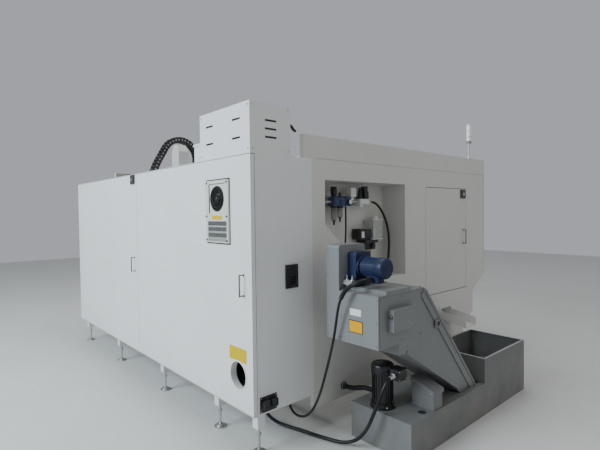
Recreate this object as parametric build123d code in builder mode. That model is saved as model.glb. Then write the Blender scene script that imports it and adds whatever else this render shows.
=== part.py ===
from build123d import *
from math import atan2, cos, degrees, hypot, pi, sin, tan
import os

os.makedirs("parts", exist_ok=True)

# Whole machine, in millimetres
body_width = 3750
body_depth = 3148
roof_height = 2148
skirt_height = 185
sheet = 3
seam = 4
face_gap = 0.3
running_gap = 0.05

# Reach of what stands out of the body
tank_reach = 700
handle_reach = 40
console_reach = 230

# Electrical cabinet across the back
cabinet_depth = 531
cabinet_base = 283
cabinet_top = 1982
door_depth = 30
door_split = 1854
post_width = 80
lip = 3

# The machine's left rear corner, which all measures start from
left = (tank_reach - body_width) / 2
rear = (body_depth + console_reach - handle_reach) / 2


def at(u, v, z):
    """A point u inwards from the left wall, v forwards from the back and z above the floor."""
    return (left + u, rear - v, z)


def slab(u, v, z, mode=Mode.ADD):
    """A straight-sided body between two measures each way."""
    with Locations(at((u[0] + u[1]) / 2, (v[0] + v[1]) / 2, (z[0] + z[1]) / 2)):
        Box(u[1] - u[0], v[1] - v[0], z[1] - z[0], mode=mode)


def across(points, u, mode=Mode.ADD):
    """An outline of v and z, carried from one u to another."""
    with BuildSketch(Plane(origin=at(u[0], 0, 0), x_dir=(0, -1, 0), z_dir=(-1, 0, 0))) as outline:
        Polygon(*points, align=None)
    extrude(outline.sketch, amount=u[0] - u[1], mode=mode)


def along(points, v, mode=Mode.ADD):
    """An outline of u and z, carried from one v to another."""
    with BuildSketch(Plane(origin=at(0, v[0], 0), x_dir=(1, 0, 0), z_dir=(0, -1, 0))) as outline:
        Polygon(*points, align=None)
    extrude(outline.sketch, amount=v[1] - v[0], mode=mode)


def upright(points, z, mode=Mode.ADD):
    """An outline of u and v, carried from one height to another."""
    with BuildSketch(Plane(at(0, 0, z[0]))) as outline:
        Polygon(*[(u, -v) for u, v in points], align=None)
    extrude(outline.sketch, amount=z[1] - z[0], mode=mode)


def round_across(v, z, radius, u, mode=Mode.ADD):
    """A round body whose axis runs across the machine."""
    with BuildSketch(Plane(origin=at(u[0], v, z), x_dir=(0, -1, 0), z_dir=(-1, 0, 0))) as outline:
        Circle(radius)
    extrude(outline.sketch, amount=u[0] - u[1], mode=mode)


def round_along(u, z, radius, v, mode=Mode.ADD):
    """A round body whose axis runs from back to front."""
    with BuildSketch(Plane(origin=at(u, v[0], z), x_dir=(1, 0, 0), z_dir=(0, -1, 0))) as outline:
        Circle(radius)
    extrude(outline.sketch, amount=v[1] - v[0], mode=mode)


def round_upright(u, v, radius, z, mode=Mode.ADD):
    """A round body whose axis stands up."""
    with BuildSketch(Plane(at(u, v, z[0]))) as outline:
        Circle(radius)
    extrude(outline.sketch, amount=z[1] - z[0], mode=mode)


def ring_along(u, z, radii, v, mode=Mode.ADD):
    """A flat ring whose axis runs from back to front."""
    with BuildSketch(Plane(origin=at(u, v[0], z), x_dir=(1, 0, 0), z_dir=(0, -1, 0))) as outline:
        Circle(radii[1])
        Circle(radii[0], mode=Mode.SUBTRACT)
    extrude(outline.sketch, amount=v[1] - v[0], mode=mode)


def keep(piece, name):
    """Labels a finished piece and writes it."""
    piece.part.label = name
    export_step(piece.part, f"parts/{name}.step")


# Levelling feet: welded blocks under the cabinet, threaded rods and round bases
foot_places = [(70, 90), (560, 90), (1500, 90), (2600, 90), (3680, 90), (3680, 480), (720, 480)]
foot_block = 60
foot_block_height = 52
foot_rod = 9
foot_base = 45
foot_base_height = 22

# Cable glands under the cabinet, and the catch on its left side
cabinet_glands = [(398, 350, 20), (152, 425, 15)]
gland_height = 22
catch_v = (279, 380)
catch_z = (1086, 1241)

# Cabinet shell: an open-backed housing with a centre post and lips that hold the door pins
shell_v = (door_depth + seam, cabinet_depth)
door_z = (cabinet_base + lip + seam, cabinet_top - lip - seam)
pin_radius = 3
pin_inset = 4
pin_engagement = 20
door_spans = {"right": (0, door_split - seam / 2), "left": (door_split + seam / 2, body_width)}
pin_places = {side: span[1] - pin_inset for side, span in door_spans.items()}

with BuildPart() as cabinet_shell:
    slab((0, body_width), shell_v, (cabinet_base, cabinet_top))
    slab(
        (sheet, body_width - sheet),
        (shell_v[0], shell_v[1] - sheet),
        (cabinet_base + sheet, cabinet_top - sheet),
        mode=Mode.SUBTRACT,
    )
    slab(
        (door_split - post_width / 2, door_split + post_width / 2),
        (shell_v[0], shell_v[0] + post_width / 2),
        (cabinet_base + sheet, cabinet_top - sheet),
    )
    for height in ((cabinet_base, cabinet_base + lip), (cabinet_top - lip, cabinet_top)):
        slab((0, body_width), (0, shell_v[0]), height)
        for pin_u in pin_places.values():
            round_upright(pin_u, pin_inset, pin_radius, height, mode=Mode.SUBTRACT)
    for foot_u, foot_v in foot_places:
        slab(
            (foot_u - foot_block / 2, foot_u + foot_block / 2),
            (foot_v - foot_block / 2, foot_v + foot_block / 2),
            (cabinet_base - foot_block_height, cabinet_base),
        )
    for gland_u, gland_v, gland_radius in cabinet_glands:
        round_upright(gland_u, gland_v, gland_radius, (cabinet_base - gland_height, cabinet_base))
    slab((-9, 0), catch_v, catch_z)
keep(cabinet_shell, "cabinet_shell")

# Heat exchanger in the right door
exchanger_u = (240, 534)
exchanger_z = (1395, 1828)
exchanger_rim = 18
exchanger_proud = 16
exchanger_body_depth = 120
fan_u = 378
fan_z = 1700
fan_opening = 82
fan_recess = 95
fan_radius = 74
fan_hub = 28
fan_shaft = 5
fan_blades = 7

# Sight hole low in the right door
sight_u = 172
sight_z = 516
sight_radius = 95

# Door leaves: folded pans, hollow on the inner side
for side, span in door_spans.items():
    with BuildPart() as leaf:
        slab(span, (0, door_depth), door_z)
        slab(
            (span[0] + sheet, span[1] - 2 * pin_inset - sheet),
            (sheet, door_depth),
            (door_z[0] + pin_engagement + sheet, door_z[1] - pin_engagement - sheet),
            mode=Mode.SUBTRACT,
        )
        for height in ((door_z[0], door_z[0] + pin_engagement), (door_z[1] - pin_engagement, door_z[1])):
            round_upright(pin_places[side], pin_inset, pin_radius + running_gap, height, mode=Mode.SUBTRACT)
        if side == "right":
            slab(
                (exchanger_u[0] + exchanger_rim, exchanger_u[1] - exchanger_rim),
                (0, door_depth),
                (exchanger_z[0] + exchanger_rim, exchanger_z[1] - exchanger_rim),
                mode=Mode.SUBTRACT,
            )
            round_along(sight_u, sight_z, sight_radius, (0, door_depth), mode=Mode.SUBTRACT)
    keep(leaf, f"rear_door_{side}")

# Heat exchanger: a body in the door's cut-out behind a rim with a guarded fan and three slotted bands
slot_bands = (1518, 1475, 1428)
slot_height = 26
slot_width = 6
slots_per_band = 18
guard_rings = (22, 42, 62)
guard_wire = 3
wire_v = (-exchanger_proud - guard_wire, -exchanger_proud)
with BuildPart() as heat_exchanger:
    slab(exchanger_u, (-exchanger_proud, 0), exchanger_z)
    slab(
        (exchanger_u[0] + exchanger_rim, exchanger_u[1] - exchanger_rim),
        (0, exchanger_body_depth),
        (exchanger_z[0] + exchanger_rim, exchanger_z[1] - exchanger_rim),
    )
    slab(
        (exchanger_u[0] + exchanger_rim + sheet, exchanger_u[1] - exchanger_rim - sheet),
        (-exchanger_proud + sheet, exchanger_body_depth - sheet),
        (exchanger_z[0] + exchanger_rim + sheet, exchanger_z[1] - exchanger_rim - sheet),
        mode=Mode.SUBTRACT,
    )
    slab(
        (fan_u - fan_recess, fan_u + fan_recess),
        (exchanger_body_depth - 2 * sheet, exchanger_body_depth - sheet),
        (fan_z - fan_recess, fan_z + fan_recess),
    )
    round_along(fan_u, fan_z, fan_hub, (45, exchanger_body_depth - 2 * sheet))
    round_along(fan_u, fan_z, fan_shaft + running_gap, (40, 80), mode=Mode.SUBTRACT)
    round_along(fan_u, fan_z, fan_opening, (-exchanger_proud, -exchanger_proud + sheet), mode=Mode.SUBTRACT)
    for band_z in slot_bands:
        slot_pitch = (exchanger_u[1] - exchanger_u[0] - 2 * exchanger_rim) / (slots_per_band + 1)
        with Locations(at(sum(exchanger_u) / 2, sheet / 2 - exchanger_proud, band_z)):
            with GridLocations(slot_pitch, 1, slots_per_band, 1):
                Box(slot_width, sheet, slot_height, mode=Mode.SUBTRACT)
    ring_along(fan_u, fan_z, (fan_opening - 4, fan_opening + 6), wire_v)
    for ring in guard_rings:
        ring_along(fan_u, fan_z, (ring - guard_wire / 2, ring + guard_wire / 2), wire_v)
    for reach in ((fan_opening, guard_wire / 2), (guard_wire / 2, fan_opening)):
        slab((fan_u - reach[0], fan_u + reach[0]), wire_v, (fan_z - reach[1], fan_z + reach[1]))
keep(heat_exchanger, "heat_exchanger")

# Fan wheel: hub, stub shaft and pitched blades
with BuildPart() as exchanger_fan:
    round_along(fan_u, fan_z, fan_hub, (5, 44))
    round_along(fan_u, fan_z, fan_shaft, (44, 78))
    blade_plane = Plane(origin=at(fan_u, 25, fan_z), x_dir=(1, 0, 0), z_dir=(0, -1, 0))
    with Locations(blade_plane):
        with PolarLocations(0, fan_blades):
            with Locations(Location(((fan_hub + fan_radius) / 2 - 1, 0, 0), (35, 0, 0))):
                Box(fan_radius - fan_hub + 2, 34, 2.5)
keep(exchanger_fan, "exchanger_fan")

# U handles of the two leaves; the left one shares its node with the corner latch's case
handle_places = {"right": (90, 1128, 68), "left": (1925, 1120, 65)}
handle_radius = 5
handle_leg = 4.5
latch_width = 90
latch_height = 88
latch_depth = 14
insert_radius = 15
insert_depth = 8
left_latch = (1931, 1930)
for side, (handle_u, handle_z, half_height) in handle_places.items():
    with BuildPart() as grip:
        if side == "left":
            slab(
                (left_latch[0] - latch_width / 2, left_latch[0] + latch_width / 2),
                (-latch_depth, 0),
                (left_latch[1] - latch_height / 2, left_latch[1] + latch_height / 2),
            )
            chamfer(grip.faces().sort_by(Axis.Y)[-1].edges(), 4)
            round_along(
                *left_latch,
                insert_radius + running_gap,
                (-latch_depth, -latch_depth + insert_depth),
                mode=Mode.SUBTRACT,
            )
        for end in (-half_height, half_height):
            round_along(handle_u, handle_z + end, handle_radius + 2, (-6, 0))
            round_along(handle_u, handle_z + end, handle_leg, (-handle_reach + handle_radius, 0))
        round_upright(
            handle_u,
            -handle_reach + handle_radius,
            handle_radius,
            (handle_z - half_height - handle_radius, handle_z + half_height + handle_radius),
        )
    keep(grip, f"rear_handle_{side}")

with BuildPart() as rear_latch_insert:
    round_along(*left_latch, insert_radius, (-latch_depth - 4, -latch_depth + insert_depth))
    slab(
        (left_latch[0] - 2.5, left_latch[0] + 2.5),
        (-latch_depth - 4, -latch_depth - 1),
        (left_latch[1] - 9, left_latch[1] + 9),
        mode=Mode.SUBTRACT,
    )
keep(rear_latch_insert, "rear_latch_insert")

# Mounting plate inside the cabinet, with its drives and wire ducts
plate_v = (cabinet_depth - sheet - 30, cabinet_depth - sheet - 26)
with BuildPart() as mounting_plate:
    slab((120, body_width - 120), plate_v, (cabinet_base + 80, cabinet_top - 90))
    for post_u in (400, 1400, 2350, 3350):
        slab((post_u - 20, post_u + 20), (plate_v[1], cabinet_depth - sheet), (cabinet_base + 80, cabinet_top - 90))
    for index in range(5):
        drive_u = 2150 + index * 190
        slab((drive_u, drive_u + 150), (plate_v[0] - 180, plate_v[0]), (1250, 1620))
        with Locations(at(drive_u + 75, plate_v[0] - 176, 1435)):
            with GridLocations(28, 1, 5, 1):
                Box(12, 8, 330, mode=Mode.SUBTRACT)
    for duct_z in (560, 880, 1140, 1740):
        slab((200, body_width - 200), (plate_v[0] - 60, plate_v[0]), (duct_z, duct_z + 60))
    for index in range(10):
        breaker_u = 700 + index * 62
        slab((breaker_u, breaker_u + 54), (plate_v[0] - 75, plate_v[0]), (960, 1060))
    slab((650, 1350), (plate_v[0] - 150, plate_v[0]), (640, 840))
keep(mounting_plate, "mounting_plate")

# Ventilated box on the cabinet's top, with a small junction box beside it
vent_u = 627
vent_v = 337
vent_top = 2311
vent_slot = (90, 9)
vent_rows_back = (2091, 2214)
vent_columns_back = (154, 492)
vent_rows_side = (2092, 2146, 2200)
vent_column_side = 168
with BuildPart() as vent_box:
    slab((0, vent_u), (0, vent_v), (cabinet_top, vent_top))
    slab((sheet, vent_u - sheet), (sheet, vent_v - sheet), (cabinet_top, vent_top - sheet), mode=Mode.SUBTRACT)
    for row in vent_rows_back:
        for column in vent_columns_back:
            slab(
                (column - vent_slot[0] / 2, column + vent_slot[0] / 2),
                (0, sheet),
                (row - vent_slot[1] / 2, row + vent_slot[1] / 2),
                mode=Mode.SUBTRACT,
            )
    for row in vent_rows_side:
        for wall_u in ((0, sheet), (vent_u - sheet, vent_u)):
            slab(
                wall_u,
                (vent_column_side - vent_slot[0] / 2, vent_column_side + vent_slot[0] / 2),
                (row - vent_slot[1] / 2, row + vent_slot[1] / 2),
                mode=Mode.SUBTRACT,
            )
    round_along(60, 2205, 11, (vent_v, vent_v + 40))
    slab((vent_u, 726), (6, 90), (cabinet_top, 2100))
    slab((vent_u, 732), (0, 96), (2100, 2116))
keep(vent_box, "vent_box")

with BuildPart() as foot_screws:
    for foot_u, foot_v in foot_places:
        round_upright(foot_u, foot_v, foot_base, (0, foot_base_height * 0.45))
        round_upright(foot_u, foot_v, foot_base * 0.6, (0, foot_base_height))
        round_upright(foot_u, foot_v, foot_rod, (0, cabinet_base - foot_block_height))
        with BuildSketch(Plane(at(foot_u, foot_v, foot_base_height + 95))) as nut:
            RegularPolygon(foot_rod * 1.8, 6)
        extrude(nut.sketch, amount=16)
keep(foot_screws, "foot_screws")

# Socket plate on the cabinet's left side
socket_v = (51, 189)
socket_z = (296, 400)
socket_size = 46
with BuildPart() as socket_plate:
    slab((-4, 0), socket_v, socket_z)
    for socket_centre in (86, 152):
        slab(
            (-30, -4),
            (socket_centre - socket_size / 2, socket_centre + socket_size / 2),
            (330, 330 + socket_size),
        )
        slab(
            (-30, -12),
            (socket_centre - socket_size / 2 + 5, socket_centre + socket_size / 2 - 5),
            (335, 325 + socket_size),
            mode=Mode.SUBTRACT,
        )
keep(socket_plate, "socket_plate")

# Left wall of the enclosure, with the niche for the air units, the service door and a chip opening
wall_start = 458
front_outline = [(3148, 900), (3060, 845), (2890, 740), (2890, 520), (2680, 420), (2680, skirt_height)]
wall_outline = [
    (cabinet_depth, skirt_height),
    (cabinet_depth, cabinet_top),
    (wall_start, cabinet_top),
    (wall_start, roof_height),
    (body_depth, roof_height),
] + front_outline
niche_outline = [(660, 1838), (1664, 1838), (1664, 1040), (1190, 1040), (660, 1508)]
niche_depth = 250
service_v = (1984, 2745)
service_z = (800, 1822)
chip_v = (2230, 2480)
chip_z = (520, 650)
niche_gland = (163, 1050, 1186)
pipe_gland = (840, 270, 30, 16)
service_panel = 26
service_pin = (7, service_v[0] + 12)
service_pin_reach = 14
shelf = 6

with BuildPart() as left_wall:
    across(wall_outline, (0, sheet))
    slab((0, 40), (wall_start, wall_start + sheet), (cabinet_top, roof_height))
    slab((0, 40), (cabinet_depth, cabinet_depth + sheet), (skirt_height, cabinet_top))
    slab((0, 40), (wall_start, body_depth), (roof_height - sheet, roof_height))
    slab((0, sheet), service_v, service_z, mode=Mode.SUBTRACT)
    slab((0, sheet), chip_v, chip_z, mode=Mode.SUBTRACT)
    across(niche_outline, (0, niche_depth))
    with BuildSketch(Plane(origin=at(0, 0, 0), x_dir=(0, -1, 0), z_dir=(-1, 0, 0))) as inner:
        Polygon(*niche_outline, align=None)
        offset(amount=-sheet, kind=Kind.INTERSECTION, mode=Mode.REPLACE)
    extrude(inner.sketch, amount=sheet - niche_depth, mode=Mode.SUBTRACT)
    slab(
        (niche_gland[0] - 12, niche_depth - sheet),
        (niche_gland[1] - 12, niche_gland[1] + 12),
        (niche_gland[2] - 16, niche_gland[2]),
    )
    round_across(pipe_gland[0], pipe_gland[1], pipe_gland[2], (-pipe_gland[3], 0))
    for shelf_z in (service_z[0] - shelf, service_z[1]):
        slab((sheet, 40), (service_v[0] - 20, service_v[0] + 30), (shelf_z, shelf_z + shelf))
        round_upright(*service_pin, pin_radius, (shelf_z, shelf_z + shelf), mode=Mode.SUBTRACT)
keep(left_wall, "left_wall")

with BuildPart() as right_wall:
    across(wall_outline, (body_width - sheet, body_width))
    slab((body_width - 40, body_width), (wall_start, wall_start + sheet), (cabinet_top, roof_height))
    slab(
        (body_width - 40, body_width),
        (cabinet_depth, cabinet_depth + sheet),
        (skirt_height, cabinet_top),
    )
    slab((body_width - 40, body_width), (wall_start, body_depth), (roof_height - sheet, roof_height))
keep(right_wall, "right_wall")

# Service door: a folded pan that stands in its opening
with BuildPart() as service_door:
    slab(
        (0, service_panel),
        (service_v[0] + seam, service_v[1] - seam),
        (service_z[0] + seam, service_z[1] - seam),
    )
    slab(
        (sheet, service_panel),
        (service_v[0] + seam + 16, service_v[1] - seam - sheet),
        (service_z[0] + seam + service_pin_reach + sheet, service_z[1] - seam - service_pin_reach - sheet),
        mode=Mode.SUBTRACT,
    )
    for pin_z in (service_z[0] + seam, service_z[1] - seam - service_pin_reach):
        round_upright(
            *service_pin,
            pin_radius + running_gap,
            (pin_z, pin_z + service_pin_reach),
            mode=Mode.SUBTRACT,
        )
keep(service_door, "service_door")

# Hinge pins of the two rear leaves and the service door
with BuildPart() as hinge_pins:
    for pin_u in pin_places.values():
        round_upright(pin_u, pin_inset, pin_radius, (cabinet_base, door_z[0] + pin_engagement))
        round_upright(pin_u, pin_inset, pin_radius, (door_z[1] - pin_engagement, cabinet_top))
    pin_end = seam + service_pin_reach - 2
    round_upright(*service_pin, pin_radius, (service_z[0] - shelf, service_z[0] + pin_end))
    round_upright(*service_pin, pin_radius, (service_z[1] - pin_end, service_z[1] + shelf))
keep(hinge_pins, "hinge_pins")

# Handle and latch case of the service door, and the latch's turning insert
service_handle = (2678, 1330, 68)
service_latch = (2672, 1768)
with BuildPart() as service_fittings:
    slab(
        (-latch_depth, 0),
        (service_latch[0] - latch_width / 2, service_latch[0] + latch_width / 2),
        (service_latch[1] - latch_height / 2, service_latch[1] + latch_height / 2),
    )
    chamfer(service_fittings.faces().sort_by(Axis.X)[0].edges(), 4)
    round_across(
        *service_latch,
        insert_radius + running_gap,
        (-latch_depth, -latch_depth + insert_depth),
        mode=Mode.SUBTRACT,
    )
    for end in (-service_handle[2], service_handle[2]):
        round_across(service_handle[0], service_handle[1] + end, handle_radius + 2, (-6, 0))
        round_across(
            service_handle[0], service_handle[1] + end, handle_leg, (-handle_reach + handle_radius, 0)
        )
    round_upright(
        -handle_reach + handle_radius,
        service_handle[0],
        handle_radius,
        (
            service_handle[1] - service_handle[2] - handle_radius,
            service_handle[1] + service_handle[2] + handle_radius,
        ),
    )
keep(service_fittings, "service_fittings")

with BuildPart() as service_latch_insert:
    round_across(
        service_latch[0], service_latch[1], insert_radius, (-latch_depth - 4, -latch_depth + insert_depth)
    )
    slab(
        (-latch_depth - 4, -latch_depth - 1),
        (service_latch[0] - 2.5, service_latch[0] + 2.5),
        (service_latch[1] - 9, service_latch[1] + 9),
        mode=Mode.SUBTRACT,
    )
keep(service_latch_insert, "service_latch_insert")

# Roof with an opening for the head, front wall with the operator's opening
roof_start = 1250
axis_u = 2500
throat_u = (axis_u - 420, axis_u + 560)
throat_v = (roof_start, 2180)
operator_u = (1150, 2850)
operator_z = (1000, 2000)
fold = 30
with BuildPart() as roof_panel:
    slab((40.5, body_width - 40.5), (roof_start, body_depth - sheet), (roof_height - sheet, roof_height))
    slab((40.5, body_width - 40.5), (roof_start, roof_start + sheet), (roof_height - fold, roof_height))
    slab(throat_u, throat_v, (roof_height - fold, roof_height), mode=Mode.SUBTRACT)
keep(roof_panel, "roof_panel")

front_door_u = (1100, 2900)
front_door_z = (960, 2040)
front_door_v = (body_depth + 4, body_depth + 34)
tongue_v = (front_door_v[0] + 10, front_door_v[0] + 16)
track_u = (40, 2920)
with BuildPart() as front_panel:
    slab((sheet, body_width - sheet), (body_depth - sheet, body_depth), (900, roof_height - sheet))
    slab(operator_u, (body_depth - sheet, body_depth), operator_z, mode=Mode.SUBTRACT)
    for track_z, groove_z in (
        ((front_door_z[0] - 30, front_door_z[0] - 4), (front_door_z[0] - 14, front_door_z[0] - 4)),
        ((front_door_z[1] + 4, front_door_z[1] + 30), (front_door_z[1] + 4, front_door_z[1] + 14)),
    ):
        slab(track_u, (body_depth, front_door_v[1]), track_z)
        slab(track_u, (tongue_v[0] - face_gap, tongue_v[1] + face_gap), groove_z, mode=Mode.SUBTRACT)
keep(front_panel, "front_panel")

with BuildPart() as front_apron:
    apron_inside = [(v - sheet, z + sheet) for v, z in front_outline[1:-1]]
    across(
        [(body_depth - sheet, 900)] + apron_inside + [(2680 - sheet, skirt_height)] + front_outline[::-1],
        (sheet, body_width - sheet),
    )
keep(front_apron, "front_apron")

# Bed with the arms that carry the enclosure, column and the three axes
bed_u = (1700, 3300)
bed_v = (600, 2560)
bed_z = (60, 520)
bed_wall = 45
outrigger = 60
outrigger_v = (700, 2300)
column_half = 400
column_v = (620, 1200)
column_z = (bed_z[1], 2130)
rail_size = (44, 40)
y_rail_offset = 300
z_rail_offset = 240
saddle_travel = 300
table_travel = 450
head_travel = 500
ride_gap = 1
spindle_v = 1850

with BuildPart() as bed:
    along(
        [
            (bed_u[0], bed_z[0]),
            (bed_u[1], bed_z[0]),
            (bed_u[1], bed_z[0] + 120),
            (axis_u + y_rail_offset + 130, bed_z[1]),
            (axis_u - y_rail_offset - 130, bed_z[1]),
            (bed_u[0], bed_z[0] + 120),
        ],
        bed_v,
    )
    for cell in range(4):
        cell_v = bed_v[0] + bed_wall + cell * (bed_v[1] - bed_v[0] - bed_wall) / 4
        cell_end = cell_v + (bed_v[1] - bed_v[0] - bed_wall) / 4 - bed_wall
        for cell_u in ((bed_u[0] + 90, axis_u - bed_wall / 2), (axis_u + bed_wall / 2, bed_u[1] - 90)):
            slab(cell_u, (cell_v, cell_end), (bed_z[0], bed_z[0] + 240), mode=Mode.SUBTRACT)
    for pad_u in (bed_u[0] + 90, axis_u, bed_u[1] - 90):
        for pad_v in (bed_v[0] + 60, (bed_v[0] + bed_v[1]) / 2, bed_v[1] - 60):
            round_upright(pad_u, pad_v, 55, (0, 24))
            round_upright(pad_u, pad_v, 20, (0, bed_z[0]))
            round_upright(pad_u, pad_v, 70, (bed_z[0] - 12, bed_z[0] + 30))
    for foot_v in outrigger_v:
        for reach_u in ((sheet, bed_u[0] + 80), (bed_u[1] - 80, body_width - sheet)):
            slab(reach_u, (foot_v, foot_v + outrigger), (skirt_height + 5, skirt_height + 5 + outrigger))
keep(bed, "bed")

with BuildPart() as column:
    across(
        [
            (column_v[0], column_z[0]),
            (column_v[1], column_z[0]),
            (column_v[1], column_z[1]),
            (column_v[0] + 150, column_z[1]),
            (column_v[0], column_z[0] + 700),
        ],
        (axis_u - column_half, axis_u + column_half),
    )
    slab(
        (axis_u - column_half + 40, axis_u + column_half - 40),
        (column_v[0] + 190, column_v[1] - 45),
        (column_z[0], column_z[1] - 45),
        mode=Mode.SUBTRACT,
    )
    for window_z in (column_z[0] + 130, column_z[0] + 760):
        across(
            [
                (column_v[0] + 240, window_z),
                (column_v[1] - 120, window_z),
                (column_v[1] - 120, window_z + 480),
            ],
            (axis_u - column_half, axis_u + column_half),
            mode=Mode.SUBTRACT,
        )
keep(column, "column")

# Profile rails: a waisted section, two on the bed and two on the column
rail_waist = 6
with BuildPart() as guide_rails:
    for offset_u in (-y_rail_offset, y_rail_offset):
        half = rail_size[0] / 2
        along(
            [
                (axis_u + offset_u - half, bed_z[1]),
                (axis_u + offset_u + half, bed_z[1]),
                (axis_u + offset_u + half, bed_z[1] + 12),
                (axis_u + offset_u + half - rail_waist, bed_z[1] + 22),
                (axis_u + offset_u + half, bed_z[1] + rail_size[1] - 8),
                (axis_u + offset_u + half - 4, bed_z[1] + rail_size[1]),
                (axis_u + offset_u - half + 4, bed_z[1] + rail_size[1]),
                (axis_u + offset_u - half, bed_z[1] + rail_size[1] - 8),
                (axis_u + offset_u - half + rail_waist, bed_z[1] + 22),
                (axis_u + offset_u - half, bed_z[1] + 12),
            ],
            (column_v[1] + 60, bed_v[1] - 20),
        )
    for offset_u in (-z_rail_offset, z_rail_offset):
        half = rail_size[0] / 2
        upright(
            [
                (axis_u + offset_u - half, column_v[1]),
                (axis_u + offset_u + half, column_v[1]),
                (axis_u + offset_u + half, column_v[1] + 12),
                (axis_u + offset_u + half - rail_waist, column_v[1] + 22),
                (axis_u + offset_u + half, column_v[1] + rail_size[1] - 8),
                (axis_u + offset_u + half - 4, column_v[1] + rail_size[1]),
                (axis_u + offset_u - half + 4, column_v[1] + rail_size[1]),
                (axis_u + offset_u - half, column_v[1] + rail_size[1] - 8),
                (axis_u + offset_u - half + rail_waist, column_v[1] + 22),
                (axis_u + offset_u - half, column_v[1] + 12),
            ],
            (column_z[0] + 420, column_z[1] - 20),
        )
keep(guide_rails, "guide_rails")

# Saddle: carriages over the bed's rails, a slab and the table's own rails
saddle_u = (1650, 3350)
saddle_v = (1580, 2220)
saddle_z = (bed_z[1] + rail_size[1] + ride_gap, bed_z[1] + rail_size[1] + 120)
carriage_length = 150
carriage_half = 58
table_rail_v = (1690, 2110)
screw_radius = 16
y_screw_z = bed_z[1] + 22
x_screw_z = saddle_z[1] + 22
screw_v = 1900
nut_half = 34
nut_length = 120
motor_half = 65
motor_length = 210
y_motor_half = 50
y_motor_length = 130
x_motor_z = (x_screw_z - 75, x_screw_z + 17)
flange_thickness = 16


def carriage_u(centre_u, v, z):
    """A carriage that straddles a bed rail, standing from below the rail's head up to a slab."""
    half = rail_size[0] / 2 + ride_gap
    slab((centre_u - carriage_half, centre_u - half), v, z)
    slab((centre_u + half, centre_u + carriage_half), v, z)


with BuildPart() as saddle:
    slab(saddle_u, saddle_v, saddle_z)
    for offset_u in (-y_rail_offset, y_rail_offset):
        for end_v in (saddle_v[0], saddle_v[1] - carriage_length):
            carriage_u(axis_u + offset_u, (end_v, end_v + carriage_length), (bed_z[1] + 8, saddle_z[0]))
    for rail_v in table_rail_v:
        slab(
            saddle_u,
            (rail_v - rail_size[0] / 2, rail_v + rail_size[0] / 2),
            (saddle_z[1], saddle_z[1] + rail_size[1]),
        )
    for pocket_u in (saddle_u[0] + 60, saddle_u[1] - 360):
        slab((pocket_u, pocket_u + 300), saddle_v, (saddle_z[0], saddle_z[0] + 55), mode=Mode.SUBTRACT)
    slab((axis_u - nut_half, axis_u + nut_half), (screw_v, screw_v + nut_length), (bed_z[1] + 1, saddle_z[0]))
    round_along(axis_u, y_screw_z, screw_radius + running_gap, saddle_v, mode=Mode.SUBTRACT)
    for end_u in (saddle_u[0], saddle_u[1] - 40):
        slab((end_u, end_u + 40), (screw_v - 45, screw_v + 45), (saddle_z[1], saddle_z[1] + rail_size[1]))
    slab((saddle_u[1], saddle_u[1] + motor_length), (screw_v - y_motor_half, screw_v + y_motor_half), x_motor_z)
    round_across(
        screw_v,
        x_screw_z,
        screw_radius + running_gap,
        (saddle_u[0], saddle_u[1] + 5 + face_gap),
        mode=Mode.SUBTRACT,
    )
keep(saddle, "saddle")

# Table with T slots
table_u = (axis_u - 650, axis_u + 650)
table_v = (1580, 2220)
table_z = (saddle_z[1] + rail_size[1] + ride_gap, saddle_z[1] + rail_size[1] + 91)
slot_places = (1700, 1800, 1900, 2000, 2100)
slot_neck = (18, 28)
slot_head = (30, 14)
table_carriage_u = (axis_u - 380, axis_u + 230)
with BuildPart() as table:
    slab(table_u, table_v, table_z)
    for slot_v in slot_places:
        slab(
            table_u,
            (slot_v - slot_neck[0] / 2, slot_v + slot_neck[0] / 2),
            (table_z[1] - slot_neck[1], table_z[1]),
            mode=Mode.SUBTRACT,
        )
        slab(
            table_u,
            (slot_v - slot_head[0] / 2, slot_v + slot_head[0] / 2),
            (table_z[1] - slot_neck[1] - slot_head[1], table_z[1] - slot_neck[1]),
            mode=Mode.SUBTRACT,
        )
    for rail_v in table_rail_v:
        for block_u in table_carriage_u:
            for cheek in (-1, 1):
                cheek_v = rail_v + cheek * (carriage_half + rail_size[0] / 2 + ride_gap) / 2
                cheek_half = (carriage_half - rail_size[0] / 2 - ride_gap) / 2
                slab(
                    (block_u, block_u + carriage_length),
                    (cheek_v - cheek_half, cheek_v + cheek_half),
                    (saddle_z[1] + 8, table_z[0]),
                )
    slab(
        (axis_u - nut_length / 2, axis_u + nut_length / 2),
        (screw_v - nut_half, screw_v + nut_half),
        (saddle_z[1] + 1, table_z[0]),
    )
    round_across(screw_v, x_screw_z, screw_radius + running_gap, table_u, mode=Mode.SUBTRACT)
keep(table, "table")

# Ball screws; the motors of the two that stand still, with the screws' bearing seats
y_screw_v = (column_v[1] + 70, bed_v[1] + 10)
z_screw_v = column_v[1] + 42
z_screw_z = (column_z[0] + 430, column_z[1] + 20)
with BuildPart() as y_screw:
    round_along(axis_u, y_screw_z, screw_radius, y_screw_v)
keep(y_screw, "y_screw")

with BuildPart() as x_screw:
    round_across(screw_v, x_screw_z, screw_radius, (saddle_u[0] + 5, saddle_u[1] + 5))
keep(x_screw, "x_screw")

with BuildPart() as z_screw:
    round_upright(axis_u, z_screw_v, screw_radius, z_screw_z)
keep(z_screw, "z_screw")

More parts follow.
